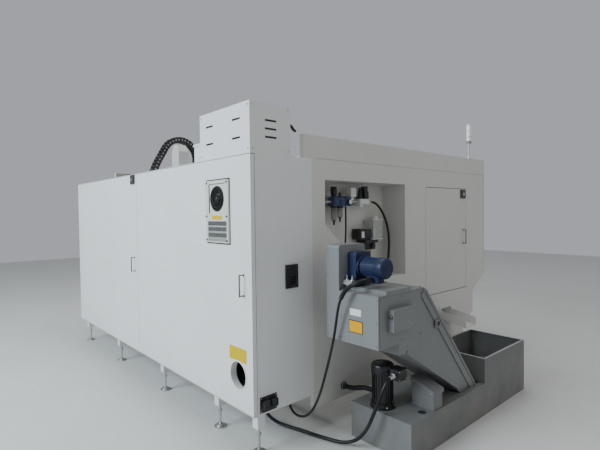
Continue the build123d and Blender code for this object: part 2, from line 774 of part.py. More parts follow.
with BuildPart() as axis_motors:
    for seat_v in ((column_v[1] + 62, column_v[1] + 100), (bed_v[1] - 60, bed_v[1] - 20)):
        slab((axis_u - 60, axis_u + 60), seat_v, (bed_z[1], bed_z[1] + rail_size[1]))
    slab(
        (axis_u - y_motor_half, axis_u + y_motor_half),
        (bed_v[1], bed_v[1] + y_motor_length),
        (y_screw_z - y_motor_half, y_screw_z + y_motor_half),
    )
    round_along(axis_u, y_screw_z, screw_radius + running_gap, (column_v[1], y_screw_v[1]), mode=Mode.SUBTRACT)
    for seat_z in (z_screw_z[0] + 10, column_z[1] - 60):
        slab((axis_u - 55, axis_u + 55), (column_v[1], z_screw_v + 20), (seat_z, seat_z + 40))
    slab((axis_u - 90, axis_u + 90), (column_v[1] - 110, z_screw_v + 75), (column_z[1], column_z[1] + 20))
    slab(
        (axis_u - motor_half, axis_u + motor_half),
        (z_screw_v - motor_half, z_screw_v + motor_half),
        (column_z[1] + 20, column_z[1] + 20 + motor_length),
    )
    round_upright(axis_u, z_screw_v, screw_radius + running_gap, z_screw_z, mode=Mode.SUBTRACT)
keep(axis_motors, "axis_motors")

# Spindle head: carriages on the column, a tapered body and the nose
head_half = 200
nose_z = 1500
head_z = (nose_z + 60, 2030)
head_v = (column_v[1] + rail_size[1] + 45, spindle_v + 180)
spindle_radius = 45
spindle_gap = 0.05
motor_radius = 110

# Drag chain's run: up from its bracket beside the column, leaning into a loop, and down to an arm of the head
chain_u = (2930, 3010)
chain_centre_v = 1010
chain_radius = 235
chain_centre_z = 2310
chain_height = 66
chain_pitch = 44
chain_wall = 8
chain_lean = pi / 6
sway_radius = 840
sway_links = 10
lean_links = 4
arc_links = 14
right_leg_links = 4
lean_top = (chain_centre_v - chain_radius * cos(chain_lean), chain_centre_z + chain_radius * sin(chain_lean))
lean_reach = (lean_links * chain_pitch * sin(chain_lean), lean_links * chain_pitch * cos(chain_lean))
chain_foot_v = lean_top[0] - lean_reach[0] - sway_radius * (1 - cos(chain_lean))
sway_foot_z = lean_top[1] - lean_reach[1] - sway_radius * sin(chain_lean)
chain_foot_z = sway_foot_z - chain_pitch
chain_right_v = chain_centre_v + chain_radius
chain_head_z = chain_centre_z - right_leg_links * chain_pitch
arm_u = (2600, 2690)
arm_v = (1300, 1330)

with BuildPart() as spindle_head:
    across(
        [
            (head_v[0], head_z[0] - 120),
            (head_v[0] + 120, head_z[0] - 120),
            (spindle_v - 160, head_z[0]),
            (head_v[1], head_z[0]),
            (head_v[1], head_z[1] - 60),
            (head_v[1] - 40, head_z[1]),
            (head_v[0], head_z[1]),
        ],
        (axis_u - head_half, axis_u + head_half),
    )
    slab(
        (axis_u - head_half + 40, axis_u + head_half - 40),
        (head_v[0] + 60, spindle_v - 170),
        (head_z[0] + 40, head_z[1] - 40),
        mode=Mode.SUBTRACT,
    )
    for offset_u in (-z_rail_offset, z_rail_offset):
        for end_z in (head_z[0] - 110, head_z[1] - carriage_length):
            half = rail_size[0] / 2 + ride_gap
            for cheek in ((-carriage_half, -half), (half, carriage_half)):
                slab(
                    (axis_u + offset_u + cheek[0], axis_u + offset_u + cheek[1]),
                    (column_v[1] + 8, column_v[1] + rail_size[1] + ride_gap),
                    (end_z, end_z + carriage_length),
                )
            slab(
                (axis_u + offset_u - carriage_half, axis_u + offset_u + carriage_half),
                (column_v[1] + rail_size[1] + ride_gap, head_v[0]),
                (end_z, end_z + carriage_length),
            )
    slab(
        (axis_u - z_rail_offset - carriage_half, axis_u + z_rail_offset + carriage_half),
        (head_v[0] - 20, head_v[0]),
        (head_z[0] - 110, head_z[1]),
    )
    slab(
        (axis_u - nut_half, axis_u + nut_half),
        (column_v[1] + 8, head_v[0]),
        (head_z[0] + 60, head_z[0] + 60 + nut_length),
    )
    round_upright(
        axis_u, z_screw_v, screw_radius + running_gap, (head_z[0] - 120, head_z[1]), mode=Mode.SUBTRACT
    )
    round_upright(axis_u, spindle_v, 95, (nose_z + 20, head_z[0]))
    round_upright(
        axis_u, spindle_v, spindle_radius + spindle_gap, (nose_z + 20, head_z[1]), mode=Mode.SUBTRACT
    )
    slab(arm_u, arm_v, (head_z[1] - 100, chain_head_z))
    slab((arm_u[0], chain_u[1]), arm_v, (chain_head_z - 60, chain_head_z))
    slab(chain_u, (chain_right_v - chain_height / 2, arm_v[0]), (chain_head_z - 14, chain_head_z))
keep(spindle_head, "spindle_head")

taper = (22, 32, 70)
with BuildPart() as spindle:
    with BuildSketch(Plane(origin=at(axis_u, spindle_v, 0), x_dir=(1, 0, 0), z_dir=(0, -1, 0))) as turned:
        with BuildLine():
            Polyline(
                (0, nose_z + taper[2]),
                (taper[0], nose_z + taper[2]),
                (taper[1], nose_z),
                (64, nose_z),
                (64, nose_z + 20 - face_gap),
                (spindle_radius, nose_z + 20 - face_gap),
                (spindle_radius, head_z[1] - face_gap),
                (0, head_z[1] - face_gap),
                close=True,
            )
        make_face()
    revolve(turned.sketch, axis=Axis(at(axis_u, spindle_v, 0), (0, 0, 1)))
keep(spindle, "spindle")

with BuildPart() as spindle_motor:
    round_upright(axis_u, spindle_v, motor_radius + 20, (head_z[1], head_z[1] + flange_thickness))
    round_upright(axis_u, spindle_v, motor_radius, (head_z[1], head_z[1] + 330))
    for ring in range(9):
        ring_z = head_z[1] + 40 + ring * 26
        with BuildSketch(Plane(at(axis_u, spindle_v, ring_z))) as groove:
            Circle(motor_radius)
            Circle(motor_radius - 7, mode=Mode.SUBTRACT)
        extrude(groove.sketch, amount=12, mode=Mode.SUBTRACT)
    round_upright(axis_u, spindle_v, motor_radius - 12, (head_z[1] + 330, head_z[1] + 370))
keep(spindle_motor, "spindle_motor")

# Tool magazine: a drum of holders on a hub beside the column, with the drag chain's bracket on the top
drum_v = 1150
drum_z = 1690
drum_u = (1760, 1960)
drum_radius = 280
holder_circle = 240
holder_radius = 34
holder_count = 16
hub_radius = 40
with BuildPart() as column_brackets:
    slab((drum_u[1] + 20, axis_u - column_half), (drum_v - 120, drum_v + 40), (drum_z - 120, drum_z + 120))
    round_across(drum_v, drum_z, hub_radius, (drum_u[0] + 30, drum_u[1] + 20))
    slab((2540, 2760), (column_v[0] + 150, 930), (column_z[1], column_z[1] + 12))
    slab((axis_u + column_half, chain_u[1]), (chain_foot_v - 36, 880), (chain_foot_z - 14, chain_foot_z))
    slab((axis_u + column_half, axis_u + column_half + 12), (760, 880), (chain_foot_z - 140, chain_foot_z))
    along(
        [
            (2560, column_z[1] + 12),
            (2740, column_z[1] + 12),
            (2740, 2340),
            (2690, 2420),
            (2610, 2420),
            (2560, 2340),
        ],
        (790, 910),
    )
keep(column_brackets, "column_brackets")

with BuildPart() as tool_drum:
    drum_plane = Plane(origin=at(drum_u[0], drum_v, drum_z), x_dir=(0, -1, 0), z_dir=(-1, 0, 0))
    with BuildSketch(drum_plane) as disc:
        Circle(drum_radius)
        with PolarLocations(holder_circle, holder_count):
            Circle(holder_radius * 0.6, mode=Mode.SUBTRACT)
    extrude(disc.sketch, amount=-30)
    round_across(drum_v, drum_z, hub_radius + 30, (drum_u[0], drum_u[1]))
    with BuildSketch(drum_plane) as holders:
        with PolarLocations(holder_circle, holder_count):
            Circle(holder_radius)
            Circle(holder_radius * 0.6, mode=Mode.SUBTRACT)
    extrude(holders.sketch, amount=-110)
    round_across(
        drum_v, drum_z, hub_radius + running_gap, (drum_u[0] + 30 - face_gap, drum_u[1]), mode=Mode.SUBTRACT
    )
keep(tool_drum, "tool_drum")

# Drag chain: the links of the loop
link_places = []
link_places.append((chain_foot_v, chain_foot_z + chain_pitch / 2, 0))
for index in range(sway_links):
    angle = chain_lean * (index + 0.5) / sway_links
    link_v = chain_foot_v + sway_radius * (1 - cos(angle))
    link_places.append((link_v, sway_foot_z + sway_radius * sin(angle), degrees(angle)))
for index in range(lean_links):
    share = (index + 0.5) / lean_links
    link_v = lean_top[0] - lean_reach[0] * share
    link_places.append((link_v, lean_top[1] - lean_reach[1] * share, degrees(chain_lean)))
for index in range(right_leg_links):
    link_places.append((chain_right_v, chain_centre_z - (index + 0.5) * chain_pitch, 0))
for index in range(arc_links):
    angle = chain_lean + (pi - chain_lean) * (index + 0.5) / arc_links
    link_v = chain_centre_v - chain_radius * cos(angle)
    link_z = chain_centre_z + chain_radius * sin(angle)
    link_places.append((link_v, link_z, degrees(angle)))

chain_width = chain_u[1] - chain_u[0]
with BuildPart() as drag_chain:
    with Locations(*[Location(at(sum(chain_u) / 2, v, z), (turn, 0, 0)) for v, z, turn in link_places]):
        with Locations((-(chain_width - chain_wall) / 2, 0, 0), ((chain_width - chain_wall) / 2, 0, 0)):
            Box(chain_wall, chain_height, chain_pitch)
        with Locations((0, -(chain_height - chain_wall) / 2, 0), (0, (chain_height - chain_wall) / 2, 0)):
            Box(chain_width - 2 * chain_wall, chain_wall, chain_pitch * 0.5)
keep(drag_chain, "drag_chain")

# Tower light on the roof: pole, base and lamp segments
tower_u = 100
tower_v = 3000
lamp_radius = 25
lamp_height = 62
with BuildPart() as tower_light:
    round_upright(tower_u, tower_v, 34, (roof_height, roof_height + 8))
    round_upright(tower_u, tower_v, 11, (roof_height, 2330))
    round_upright(tower_u, tower_v, lamp_radius + 2, (2330, 2345))
    for segment in range(3):
        lamp_z = 2345 + segment * lamp_height
        round_upright(tower_u, tower_v, lamp_radius, (lamp_z, lamp_z + lamp_height - 6))
        round_upright(tower_u, tower_v, lamp_radius - 4, (lamp_z + lamp_height - 6, lamp_z + lamp_height))
    round_upright(tower_u, tower_v, lamp_radius + 1, (2345 + 3 * lamp_height, 2345 + 3 * lamp_height + 8))
    fillet(tower_light.faces().sort_by(Axis.Z)[-1].edges(), 5)
keep(tower_light, "tower_light")

# Air unit and lubrication pump on the niche's back wall
back = niche_depth - sheet
with BuildPart() as air_unit:
    slab((back - 6, back), (885, 1115), (1640, 1760))
    slab((back - 60, back - 6), (893, 1105), (1660, 1700))
    for body_v in (925, 995, 1065):
        slab((back - 118, back - 50), (body_v - 32, body_v + 32), (1640, 1720))
    round_upright(back - 84, 925, 22, (1720, 1742))
    round_upright(back - 84, 925, 26, (1742, 1800))
    for bowl_v in (925, 995):
        round_upright(back - 84, bowl_v, 27, (1600, 1640))
        round_upright(back - 84, bowl_v, 23, (1520, 1600))
        round_upright(back - 84, bowl_v, 8, (1496, 1520))
    round_across(1065, 1680, 22, (back - 140, back - 118))
    round_along(back - 80, 1684, 9, (1097, 1220))
    slab((back - 50, back), (1210, 1350), (1652, 1732))
    slab((back - 110, back - 50), (1220, 1340), (1662, 1707))
    round_upright(back - 80, 1250, 18, (1707, 1802))
    slab((back - 105, back - 55), (1280, 1335), (1707, 1815))
    round_along(back - 80, 1684, 14, (1340, 1366))
keep(air_unit, "air_unit")

lube_v = (1290, 1450)
lube_z = 1330
with BuildPart() as lube_pump:
    slab((back - 110, back), lube_v, (lube_z, lube_z + 26))
    round_along(back - 60, lube_z + 75, 42, (lube_v[0] - 60, lube_v[0] + 80))
    slab((back - 90, back - 30), (lube_v[0] - 10, lube_v[0] + 70), (lube_z + 26, lube_z + 60))
    slab((back - 80, back), (lube_v[0] + 20, lube_v[1]), (lube_z - 60, lube_z))
    round_across(lube_v[1] - 40, lube_z - 30, 22, (back - 98, back - 80))
keep(lube_pump, "lube_pump")

with BuildPart() as lube_reservoir:
    slab((back - 120, back - 10), (lube_v[0] + 84, lube_v[1] + 60), (lube_z + 26, lube_z + 200))
    fillet(lube_reservoir.edges().filter_by(Axis.Z), 12)
    slab(
        (back - 116, back - 14),
        (lube_v[0] + 88, lube_v[1] + 56),
        (lube_z + 30, lube_z + 197),
        mode=Mode.SUBTRACT,
    )
    round_upright(back - 65, lube_v[1] + 10, 30, (lube_z + 200, lube_z + 224))
keep(lube_reservoir, "lube_reservoir")

# Chip conveyor: a folded housing with its head, its incline and the run that lies in the tank
conveyor_u = (-650, -333)
conveyor_head_v = (450, 940)
conveyor_head_z = (768, 1088)
tank_u = (-tank_reach, -200)
tank_v = (710, 2450)
tank_top = 250
bin_v = (1700, 2450)
bin_top = 440
plate = 4
run_z = (plate, 220)
housing_outline = [
    (conveyor_head_v[0], conveyor_head_z[0]),
    (conveyor_head_v[0], conveyor_head_z[1]),
    (conveyor_head_v[1], conveyor_head_z[1]),
    (1660, run_z[1]),
    (2400, run_z[1]),
    (2400, run_z[0]),
    (1634, run_z[0]),
    (1367, 288),
    (731, 690),
    (656, 693),
    (656, conveyor_head_z[0]),
]
head_shaft = (640, 935)
shaft_radius = 17
side_box = ((-695, conveyor_u[0]), (543, 769), (868, 999))
with BuildPart() as conveyor_housing:
    across(housing_outline, conveyor_u)
    hollow_plane = Plane(origin=at(conveyor_u[1] - plate, 0, 0), x_dir=(0, -1, 0), z_dir=(-1, 0, 0))
    with BuildSketch(hollow_plane) as hollow:
        Polygon(*housing_outline, align=None)
        offset(amount=-plate, kind=Kind.INTERSECTION, mode=Mode.REPLACE)
    extrude(hollow.sketch, amount=conveyor_u[1] - conveyor_u[0] - 2 * plate, mode=Mode.SUBTRACT)
    slab(
        (conveyor_u[0] + plate, conveyor_u[1] - plate),
        (conveyor_head_v[0] + 40, 650),
        (conveyor_head_z[0], conveyor_head_z[0] + plate),
        mode=Mode.SUBTRACT,
    )
    slab(
        (conveyor_u[0] + plate, conveyor_u[1] - plate),
        (conveyor_head_v[0] + 40, conveyor_head_v[1] - 40),
        (conveyor_head_z[1] - plate, conveyor_head_z[1]),
        mode=Mode.SUBTRACT,
    )
    slab(
        (conveyor_u[0] + plate, conveyor_u[1] - plate),
        (1780, 2380),
        (run_z[1] - plate, run_z[1]),
        mode=Mode.SUBTRACT,
    )
    slab(*side_box)
    slab(
        (side_box[0][0] + plate, side_box[0][1]),
        (side_box[1][0] + plate, side_box[1][1] - plate),
        (side_box[2][0] + plate, side_box[2][1] - plate),
        mode=Mode.SUBTRACT,
    )
    round_along(-678, 960, 11, (side_box[1][0] - 14, side_box[1][0]))
    round_across(*head_shaft, shaft_radius + running_gap, (conveyor_u[0], conveyor_u[1]), mode=Mode.SUBTRACT)
keep(conveyor_housing, "conveyor_housing")

lid_u = (conveyor_u[0] - 2, conveyor_u[1] - 2)
lid_v = (conveyor_head_v[0] - 2, conveyor_head_v[1] - 4)
with BuildPart() as conveyor_lid:
    slab(lid_u, lid_v, (conveyor_head_z[1], conveyor_head_z[1] + plate))
    for bolt_u in (lid_u[0] + 18, lid_u[1] - 18):
        for bolt_v in (lid_v[0] + 20, lid_v[1] - 20):
            round_upright(bolt_u, bolt_v, 7, (conveyor_head_z[1] + plate, conveyor_head_z[1] + plate + 6))
    slab((lid_u[0], lid_u[1] - 10), (525, 785), (conveyor_head_z[1] + plate, conveyor_head_z[1] + plate + 22))
keep(conveyor_lid, "conveyor_lid")

# Conveyor drive: head shaft with sprockets, the motor's small sprocket, the guard and the gear motor
tail_shaft = (2330, 130)
knees = ((950, 935), (1618, 130))
belt_offset = 45
belt_slat = (2.5, 4)
slat_pitch = 42
guard_u = (-333, -223)
guard_v = (450, 710)
guard_z = (768, 1385)
output_shaft = (610, 1240)
output_radius = 12
small_sprocket = 34
large_sprocket = 52
sprocket_u = (-290, -276)
bolt_radius = 6
motor_bolts = [(u, v) for u in (guard_u[0] - 19, guard_u[0] - 65) for v in (508, 690)]


def toothed(v, z, radius, teeth, u):
    """A sprocket: a disc with round tooth gaps."""
    with BuildSketch(Plane(origin=at(u[0], v, z), x_dir=(0, -1, 0), z_dir=(-1, 0, 0))) as wheel:
        Circle(radius)
        with PolarLocations(radius, teeth):
            Circle(radius * 1.7 / teeth, mode=Mode.SUBTRACT)
    extrude(wheel.sketch, amount=u[0] - u[1])


with BuildPart() as conveyor_shaft:
    round_across(*head_shaft, shaft_radius, (conveyor_u[0] - 30, guard_u[1] - 12))
    for disc_u in (conveyor_u[0] + 30, conveyor_u[1] - 44):
        toothed(*head_shaft, belt_offset - belt_slat[1] / 2 - face_gap, 9, (disc_u, disc_u + 14))
    toothed(*head_shaft, large_sprocket, 17, sprocket_u)
keep(conveyor_shaft, "conveyor_shaft")

with BuildPart() as motor_sprocket:
    round_across(*output_shaft, output_radius, (guard_u[0] - 60, guard_u[1] - 12))
    toothed(*output_shaft, small_sprocket, 11, sprocket_u)
keep(motor_sprocket, "motor_sprocket")

with BuildPart() as chain_guard:
    slab(guard_u, guard_v, guard_z)
    fillet(chain_guard.faces().sort_by(Axis.Z)[-1].edges().filter_by(Axis.X), 20)
    slab(
        (guard_u[0] + plate, guard_u[1] - plate),
        (guard_v[0] + plate, guard_v[1] - plate),
        (guard_z[0] + plate, guard_z[1] - plate - 14),
        mode=Mode.SUBTRACT,
    )
    round_across(*head_shaft, shaft_radius + running_gap, (guard_u[0], guard_u[0] + plate), mode=Mode.SUBTRACT)
    round_across(
        *output_shaft, output_radius + running_gap, (guard_u[0], guard_u[0] + plate), mode=Mode.SUBTRACT
    )
    slab((guard_u[0] - 88, guard_u[0]), (478, guard_v[1]), (1132, 1140))
    for bolt_u, bolt_v in motor_bolts:
        round_upright(bolt_u, bolt_v, bolt_radius + 0.3, (1132, 1140), mode=Mode.SUBTRACT)
keep(chain_guard, "chain_guard")

gearbox_u = (guard_u[0] - 72, guard_u[0])
gearbox_v = (output_shaft[0] - 75, output_shaft[0] + 75)
gearbox_z = (1156, 1336)
gear_motor_radius = 60
fin_height = 5
fins = 24
terminal_box = ((-548, -460), (578, 642), (1146, 1190))
with BuildPart() as gear_motor:
    slab(gearbox_u, gearbox_v, gearbox_z)
    fillet(gear_motor.edges().filter_by(Axis.X), 20)
    round_across(*output_shaft, gear_motor_radius + 6, (-600, -545))
    fillet(gear_motor.faces().sort_by(Axis.X)[0].edges(), 12)
    round_across(*output_shaft, gear_motor_radius, (-545, gearbox_u[0]))
    round_across(*output_shaft, gear_motor_radius + 13, (gearbox_u[0] - 12, gearbox_u[0]))
    with Locations(*[Location(at(-481, *output_shaft), (360 / fins * fin, 0, 0)) for fin in range(fins)]):
        with Locations((0, 0, gear_motor_radius)):
            Box(128, 3, 2 * fin_height)
    slab(*terminal_box)
    round_along(-504, 1166, 13, (560, terminal_box[1][0]))
    slab((guard_u[0] - 80, guard_u[0]), (484, 736), (1140, gearbox_z[0]))
    for bolt_u, bolt_v in motor_bolts:
        round_upright(bolt_u, bolt_v, bolt_radius, (1120, gearbox_z[0] + 20))
    round_across(
        *output_shaft, output_radius + running_gap, (guard_u[0] - 61, guard_u[0]), mode=Mode.SUBTRACT
    )
keep(gear_motor, "gear_motor")


def belt_loop():
    """Straight strands of the slat belt as (v, z) ends, offset to both sides of its centre line."""
    line = [head_shaft, knees[0], knees[1], tail_shaft]
    strands = []
    for side in (1, -1):
        corners = []
        for index, (v, z) in enumerate(line):
            ways = []
            for start, end in zip(line, line[1:]):
                if (v, z) in (start, end):
                    length = hypot(end[0] - start[0], end[1] - start[1])
                    ways.append((-(end[1] - start[1]) / length, (end[0] - start[0]) / length))
            mean = (sum(n[0] for n in ways), sum(n[1] for n in ways))
            share = belt_offset * side * len(ways) / (mean[0] ** 2 + mean[1] ** 2)
            corners.append((v + mean[0] * share, z + mean[1] * share))
        strands.append(corners if side == 1 else corners[::-1])
    return strands


slat_width = conveyor_u[1] - conveyor_u[0] - 2 * plate - 8
belt_middle = (conveyor_u[0] + conveyor_u[1]) / 2
with BuildPart() as conveyor_belt:
    for strand in belt_loop():
        for start, end in zip(strand, strand[1:]):
            length = hypot(end[0] - start[0], end[1] - start[1])
            count = round(length / slat_pitch)
            slope = atan2(end[1] - start[1], end[0] - start[0])
            middle = at(belt_middle, (start[0] + end[0]) / 2, (start[1] + end[1]) / 2)
            with Locations(Location(middle, (-degrees(slope), 0, 0))):
                with GridLocations(1, length / count, 1, count):
                    Box(slat_width, length / count - 0.8, belt_slat[1])
                with GridLocations(1, length / count * 5, 1, count // 5):
                    with Locations((0, 0, belt_slat[1])):
                        Box(slat_width - 40, 5, 10)
                with Locations((0, 0, -belt_slat[1])):
                    with GridLocations(slat_width - belt_slat[0], 1, 2, 1):
                        Box(belt_slat[0], length, belt_slat[1])
    for centre, first in ((tail_shaft, -60), (head_shaft, 120)):
        bends = []
        for angle in (first, first + 60, first + 120):
            bend_v = centre[0] + belt_offset * cos(angle * pi / 180)
            bend_z = centre[1] + belt_offset * sin(angle * pi / 180)
            bends.append(Location(at(belt_middle, bend_v, bend_z), (90 - angle, 0, 0)))
        with Locations(*bends):
            Box(slat_width, 53, belt_slat[1])
    for disc_u in (conveyor_u[0] + 30, conveyor_u[1] - 44):
        round_across(*tail_shaft, belt_offset - belt_slat[1] / 2 - face_gap, (disc_u, disc_u + 14))
    round_across(*tail_shaft, shaft_radius, (conveyor_u[0] + plate, conveyor_u[1] - plate))
keep(conveyor_belt, "conveyor_belt")

# Coolant tank with its raised bin, sloping inner plate and pump box
pump_u = -400
pump_v = 810
pump_box_u = (-690, -520)
pump_box_v = (985, 1095)
with BuildPart() as coolant_tank:
    slab(tank_u, tank_v, (0, tank_top))
    slab(
        (tank_u[0] + plate, tank_u[1] - plate),
        (tank_v[0] + plate, tank_v[1] - plate),
        (plate, tank_top - plate),
        mode=Mode.SUBTRACT,
    )
    slab(
        (tank_u[0] + plate, tank_u[1] - plate),
        (bin_v[0] + plate, bin_v[1] - plate),
        (tank_top - plate, tank_top),
        mode=Mode.SUBTRACT,
    )
    slab((conveyor_u[0] - 6, conveyor_u[1] + 6), (1385, bin_v[0]), (tank_top - plate, tank_top), mode=Mode.SUBTRACT)
    round_upright(pump_u, pump_v, 50, (tank_top - plate, tank_top), mode=Mode.SUBTRACT)
    round_upright(-645, 915, 28, (tank_top - plate, tank_top), mode=Mode.SUBTRACT)
    slab(tank_u, bin_v, (tank_top, bin_top))
    slab(
        (tank_u[0] + plate, tank_u[1] - plate),
        (bin_v[0] + plate, bin_v[1] - plate),
        (tank_top, bin_top),
        mode=Mode.SUBTRACT,
    )
    across(
        [
            (bin_v[0] + plate, 420),
            (bin_v[0] + plate, 416),
            (bin_v[0] + 160, tank_top),
            (bin_v[0] + 164, tank_top + 2),
        ],
        (tank_u[0] + plate, tank_u[1] - plate),
    )
    along(
        [
            (pump_box_u[0], tank_top),
            (pump_box_u[1], tank_top),
            (pump_box_u[1], 430),
            (pump_box_u[0], 372),
        ],
        pump_box_v,
    )
    along(
        [
            (pump_box_u[0] - 8, 354),
            (pump_box_u[0] - 8, 382),
            (pump_box_u[1] + 8, 446),
            (pump_box_u[1] + 8, 418),
        ],
        (pump_box_v[0] - 8, pump_box_v[1] + 8),
    )
keep(coolant_tank, "coolant_tank")

# Coolant pump: flange, ribbed motor, fan cover, terminal box and the tube in the tank
pump_radius = 74
with BuildPart() as coolant_pump:
    round_upright(pump_u, pump_v, 45, (plate + 36, tank_top))
    round_upright(pump_u, pump_v, 86, (tank_top, tank_top + 14))
    round_upright(pump_u, pump_v, pump_radius + 8, (tank_top + 14, tank_top + 34))
    round_upright(pump_u, pump_v, pump_radius - 6, (tank_top + 34, 490))
    with Locations(*[Location(at(pump_u, pump_v, 395), (0, 0, 360 / fins * fin)) for fin in range(fins)]):
        with Locations((pump_radius - 6, 0, 0)):
            Box(12, 3, 180)
    round_upright(pump_u, pump_v, pump_radius + 2, (485, 548))
    fillet(coolant_pump.faces().sort_by(Axis.Z)[-1].edges(), 8)
    slab((pump_u - 148, pump_u - pump_radius + 14), (pump_v - 20, pump_v + 70), (462, 532))
    round_along(-518, 497, 16, (pump_v - 34, pump_v - 20))
    round_upright(-316, 852, 19, (tank_top, 332))
    round_across(852, 312, 19, (-316, -290))
keep(coolant_pump, "coolant_pump")

# Sliding front door with its window, and the operator's console
window_u = (1350, 2650)
window_z = (1250, 1850)
with BuildPart() as front_door:
    slab(front_door_u, front_door_v, front_door_z)
    slab(
        (front_door_u[0] + sheet, front_door_u[1] - sheet),
        (front_door_v[0], front_door_v[1] - sheet),
        (front_door_z[0] + sheet, front_door_z[1] - sheet),
        mode=Mode.SUBTRACT,
    )
    slab(window_u, (front_door_v[0], front_door_v[1]), window_z, mode=Mode.SUBTRACT)
    for grip_z in (1330, 1570):
        round_along(front_door_u[1] - 90, grip_z, 10, (front_door_v[1], front_door_v[1] + 45))
    round_upright(front_door_u[1] - 90, front_door_v[1] + 45, 10, (1310, 1590))
    for track in ((front_door_z[0] - 12, front_door_z[0]), (front_door_z[1], front_door_z[1] + 12)):
        slab((front_door_u[0] + 40, front_door_u[1] - 40), tongue_v, track)
keep(front_door, "front_door")

with BuildPart() as door_window:
    slab(
        (window_u[0] - 20, window_u[1] + 20),
        (front_door_v[1] - sheet - 8, front_door_v[1] - sheet),
        (window_z[0] - 20, window_z[1] + 20),
    )
keep(door_window, "door_window")

console_u = (3020, 3600)
console_z = (1050, 1750)
console_face = body_depth + 80
screen_u = (3070, 3430)
screen_z = (1440, 1690)
stop_place = (3520, 1420)
dial_place = (3520, 1560)
stop_radius = 12
stop_travel = 6
dial_shaft = 5
with BuildPart() as operator_console:
    across(
        [
            (body_depth, console_z[0] + 40),
            (body_depth + 120, console_z[0]),
            (body_depth + console_reach, console_z[0] + 180),
            (body_depth + console_reach, console_z[0] + 205),
            (console_face, console_z[0] + 250),
            (console_face, console_z[1] - 20),
            (body_depth + 50, console_z[1]),
            (body_depth, console_z[1]),
        ],
        console_u,
    )
    slab(screen_u, (console_face - 8, console_face), screen_z, mode=Mode.SUBTRACT)
    for row in range(3):
        for key in range(8):
            key_u = screen_u[0] + 12 + key * 45
            slab((key_u, key_u + 30), (console_face, console_face + 3), (1325 + row * 32, 1347 + row * 32))
    round_along(*stop_place, stop_radius + running_gap, (console_face - 40, console_face), mode=Mode.SUBTRACT)
    round_along(*dial_place, dial_shaft + running_gap, (console_face - 20, console_face), mode=Mode.SUBTRACT)
keep(operator_console, "operator_console")

with BuildPart() as stop_button:
    round_along(*stop_place, stop_radius, (console_face - 25, console_face + 10))
    round_along(*stop_place, 20, (console_face + 10, console_face + 30))
    fillet(stop_button.faces().sort_by(Axis.Y)[0].edges(), 5)
keep(stop_button, "stop_button")

with BuildPart() as feed_dial:
    round_along(*dial_place, dial_shaft, (console_face - 15, console_face + face_gap))
    round_along(*dial_place, 22, (console_face + face_gap, console_face + 24))
    slab(
        (dial_place[0] - 1.5, dial_place[0] + 1.5),
        (console_face + 22, console_face + 24),
        (dial_place[1] + 4, dial_place[1] + 22),
        mode=Mode.SUBTRACT,
    )
keep(feed_dial, "feed_dial")

# Chip chute: a sloping trough through the wall's low opening, over the bin
chute_v = (2245, 2440)
chute_u = (60, -260)
chute_z = (556, 496)
chute_side = 76
with BuildPart() as chip_chute:
    along(
        [
            (chute_u[0], chute_z[0]),
            (chute_u[0], chute_z[0] + chute_side),
            (chute_u[1], chute_z[1] + chute_side),
            (chute_u[1], chute_z[1]),
        ],
        chute_v,
    )
    slab((-plate, 0), (chip_v[0] - 15, chip_v[1] + 15), (chip_z[0] - 15, chip_z[1] + 15))
    along(
        [
            (chute_u[0] + 16, chute_z[0] + plate + 3),
            (chute_u[0] + 16, chute_z[0] + chute_side + 23),
            (chute_u[1] - 16, chute_z[1] + chute_side + 17),
            (chute_u[1] - 16, chute_z[1] + plate - 3),
        ],
        (chute_v[0] + plate, chute_v[1] - plate),
        mode=Mode.SUBTRACT,
    )
keep(chip_chute, "chip_chute")

# Hoses and cables: straight runs joined by arcs as large as their runs allow
hose_share = 0.45


def hose(name, points, diameter):
    """A tube along a route of (u, v, z) points; prints its radii and its length."""
    route = [Vector(*at(*point)) for point in points]
    radii = []
    for before, corner, after in zip(route, route[1:], route[2:]):
        turn = (corner - before).get_angle(after - corner)
        shorter = min((corner - before).length, (after - corner).length)
        radii.append(hose_share * shorter / tan(turn / 2 * pi / 180))
    with BuildPart() as tube:
        with BuildLine() as path:
            FilletPolyline(*route, radius=radii)
        first = path.line @ 0
        with BuildSketch(Plane(origin=first, z_dir=path.line % 0)):
            Circle(diameter / 2)
        sweep()
    length = sum(edge.length for edge in path.line.edges())
    section = pi * diameter**2 / 4
    print(name, "length", round(length), "radii", [round(r) for r in radii],
          "volume share", round(tube.part.volume / (section * length), 4))
    keep(tube, name)


pump_hose_diameter = 24
pump_hose_points = [
    (-518, 776, 497),
    (-518, 724, 497),
    (-510, 680, 440),
    (-486, 648, 345),
    (-455, 628, 240),
    (-414, 612, 142),
    (-352, 590, 63),
    (-262, 560, 22),
    (-160, 532, 16),
    (-50, 505, 15),
    (60, 478, 15),
    (170, 445, 16),
    (272, 404, 28),
    (350, 368, 76),
    (398, 350, 160),
    (398, 350, cabinet_base - gland_height),
]
hose("pump_hose", pump_hose_points, pump_hose_diameter)

motor_cable_diameter = 17
motor_cable_points = [
    (-504, 560, 1166),
    (-504, 502, 1166),
    (-494, 444, 1162),
    (-462, 400, 1136),
    (-424, 386, 1088),
    (-393, 387, 1028),
    (-368, 396, 962),
    (-346, 404, 880),
    (-322, 410, 790),
    (-292, 415, 700),
    (-258, 419, 600),
    (-222, 422, 500),
    (-184, 424, 400),
    (-142, 425, 308),
    (-90, 425, 226),
    (-26, 425, 168),
    (46, 425, 144),
    (112, 425, 154),
    (152, 425, 200),
    (152, 425, cabinet_base - gland_height),
]
hose("motor_cable", motor_cable_points, motor_cable_diameter)

coolant_pipe_diameter = 36
coolant_pipe_points = [
    (-290, 852, 312),
    (-222, 852, 312),
    (-152, 848, 293),
    (-82, 840, 270),
    (-16, 840, 270),
]
hose("coolant_pipe", coolant_pipe_points, coolant_pipe_diameter)

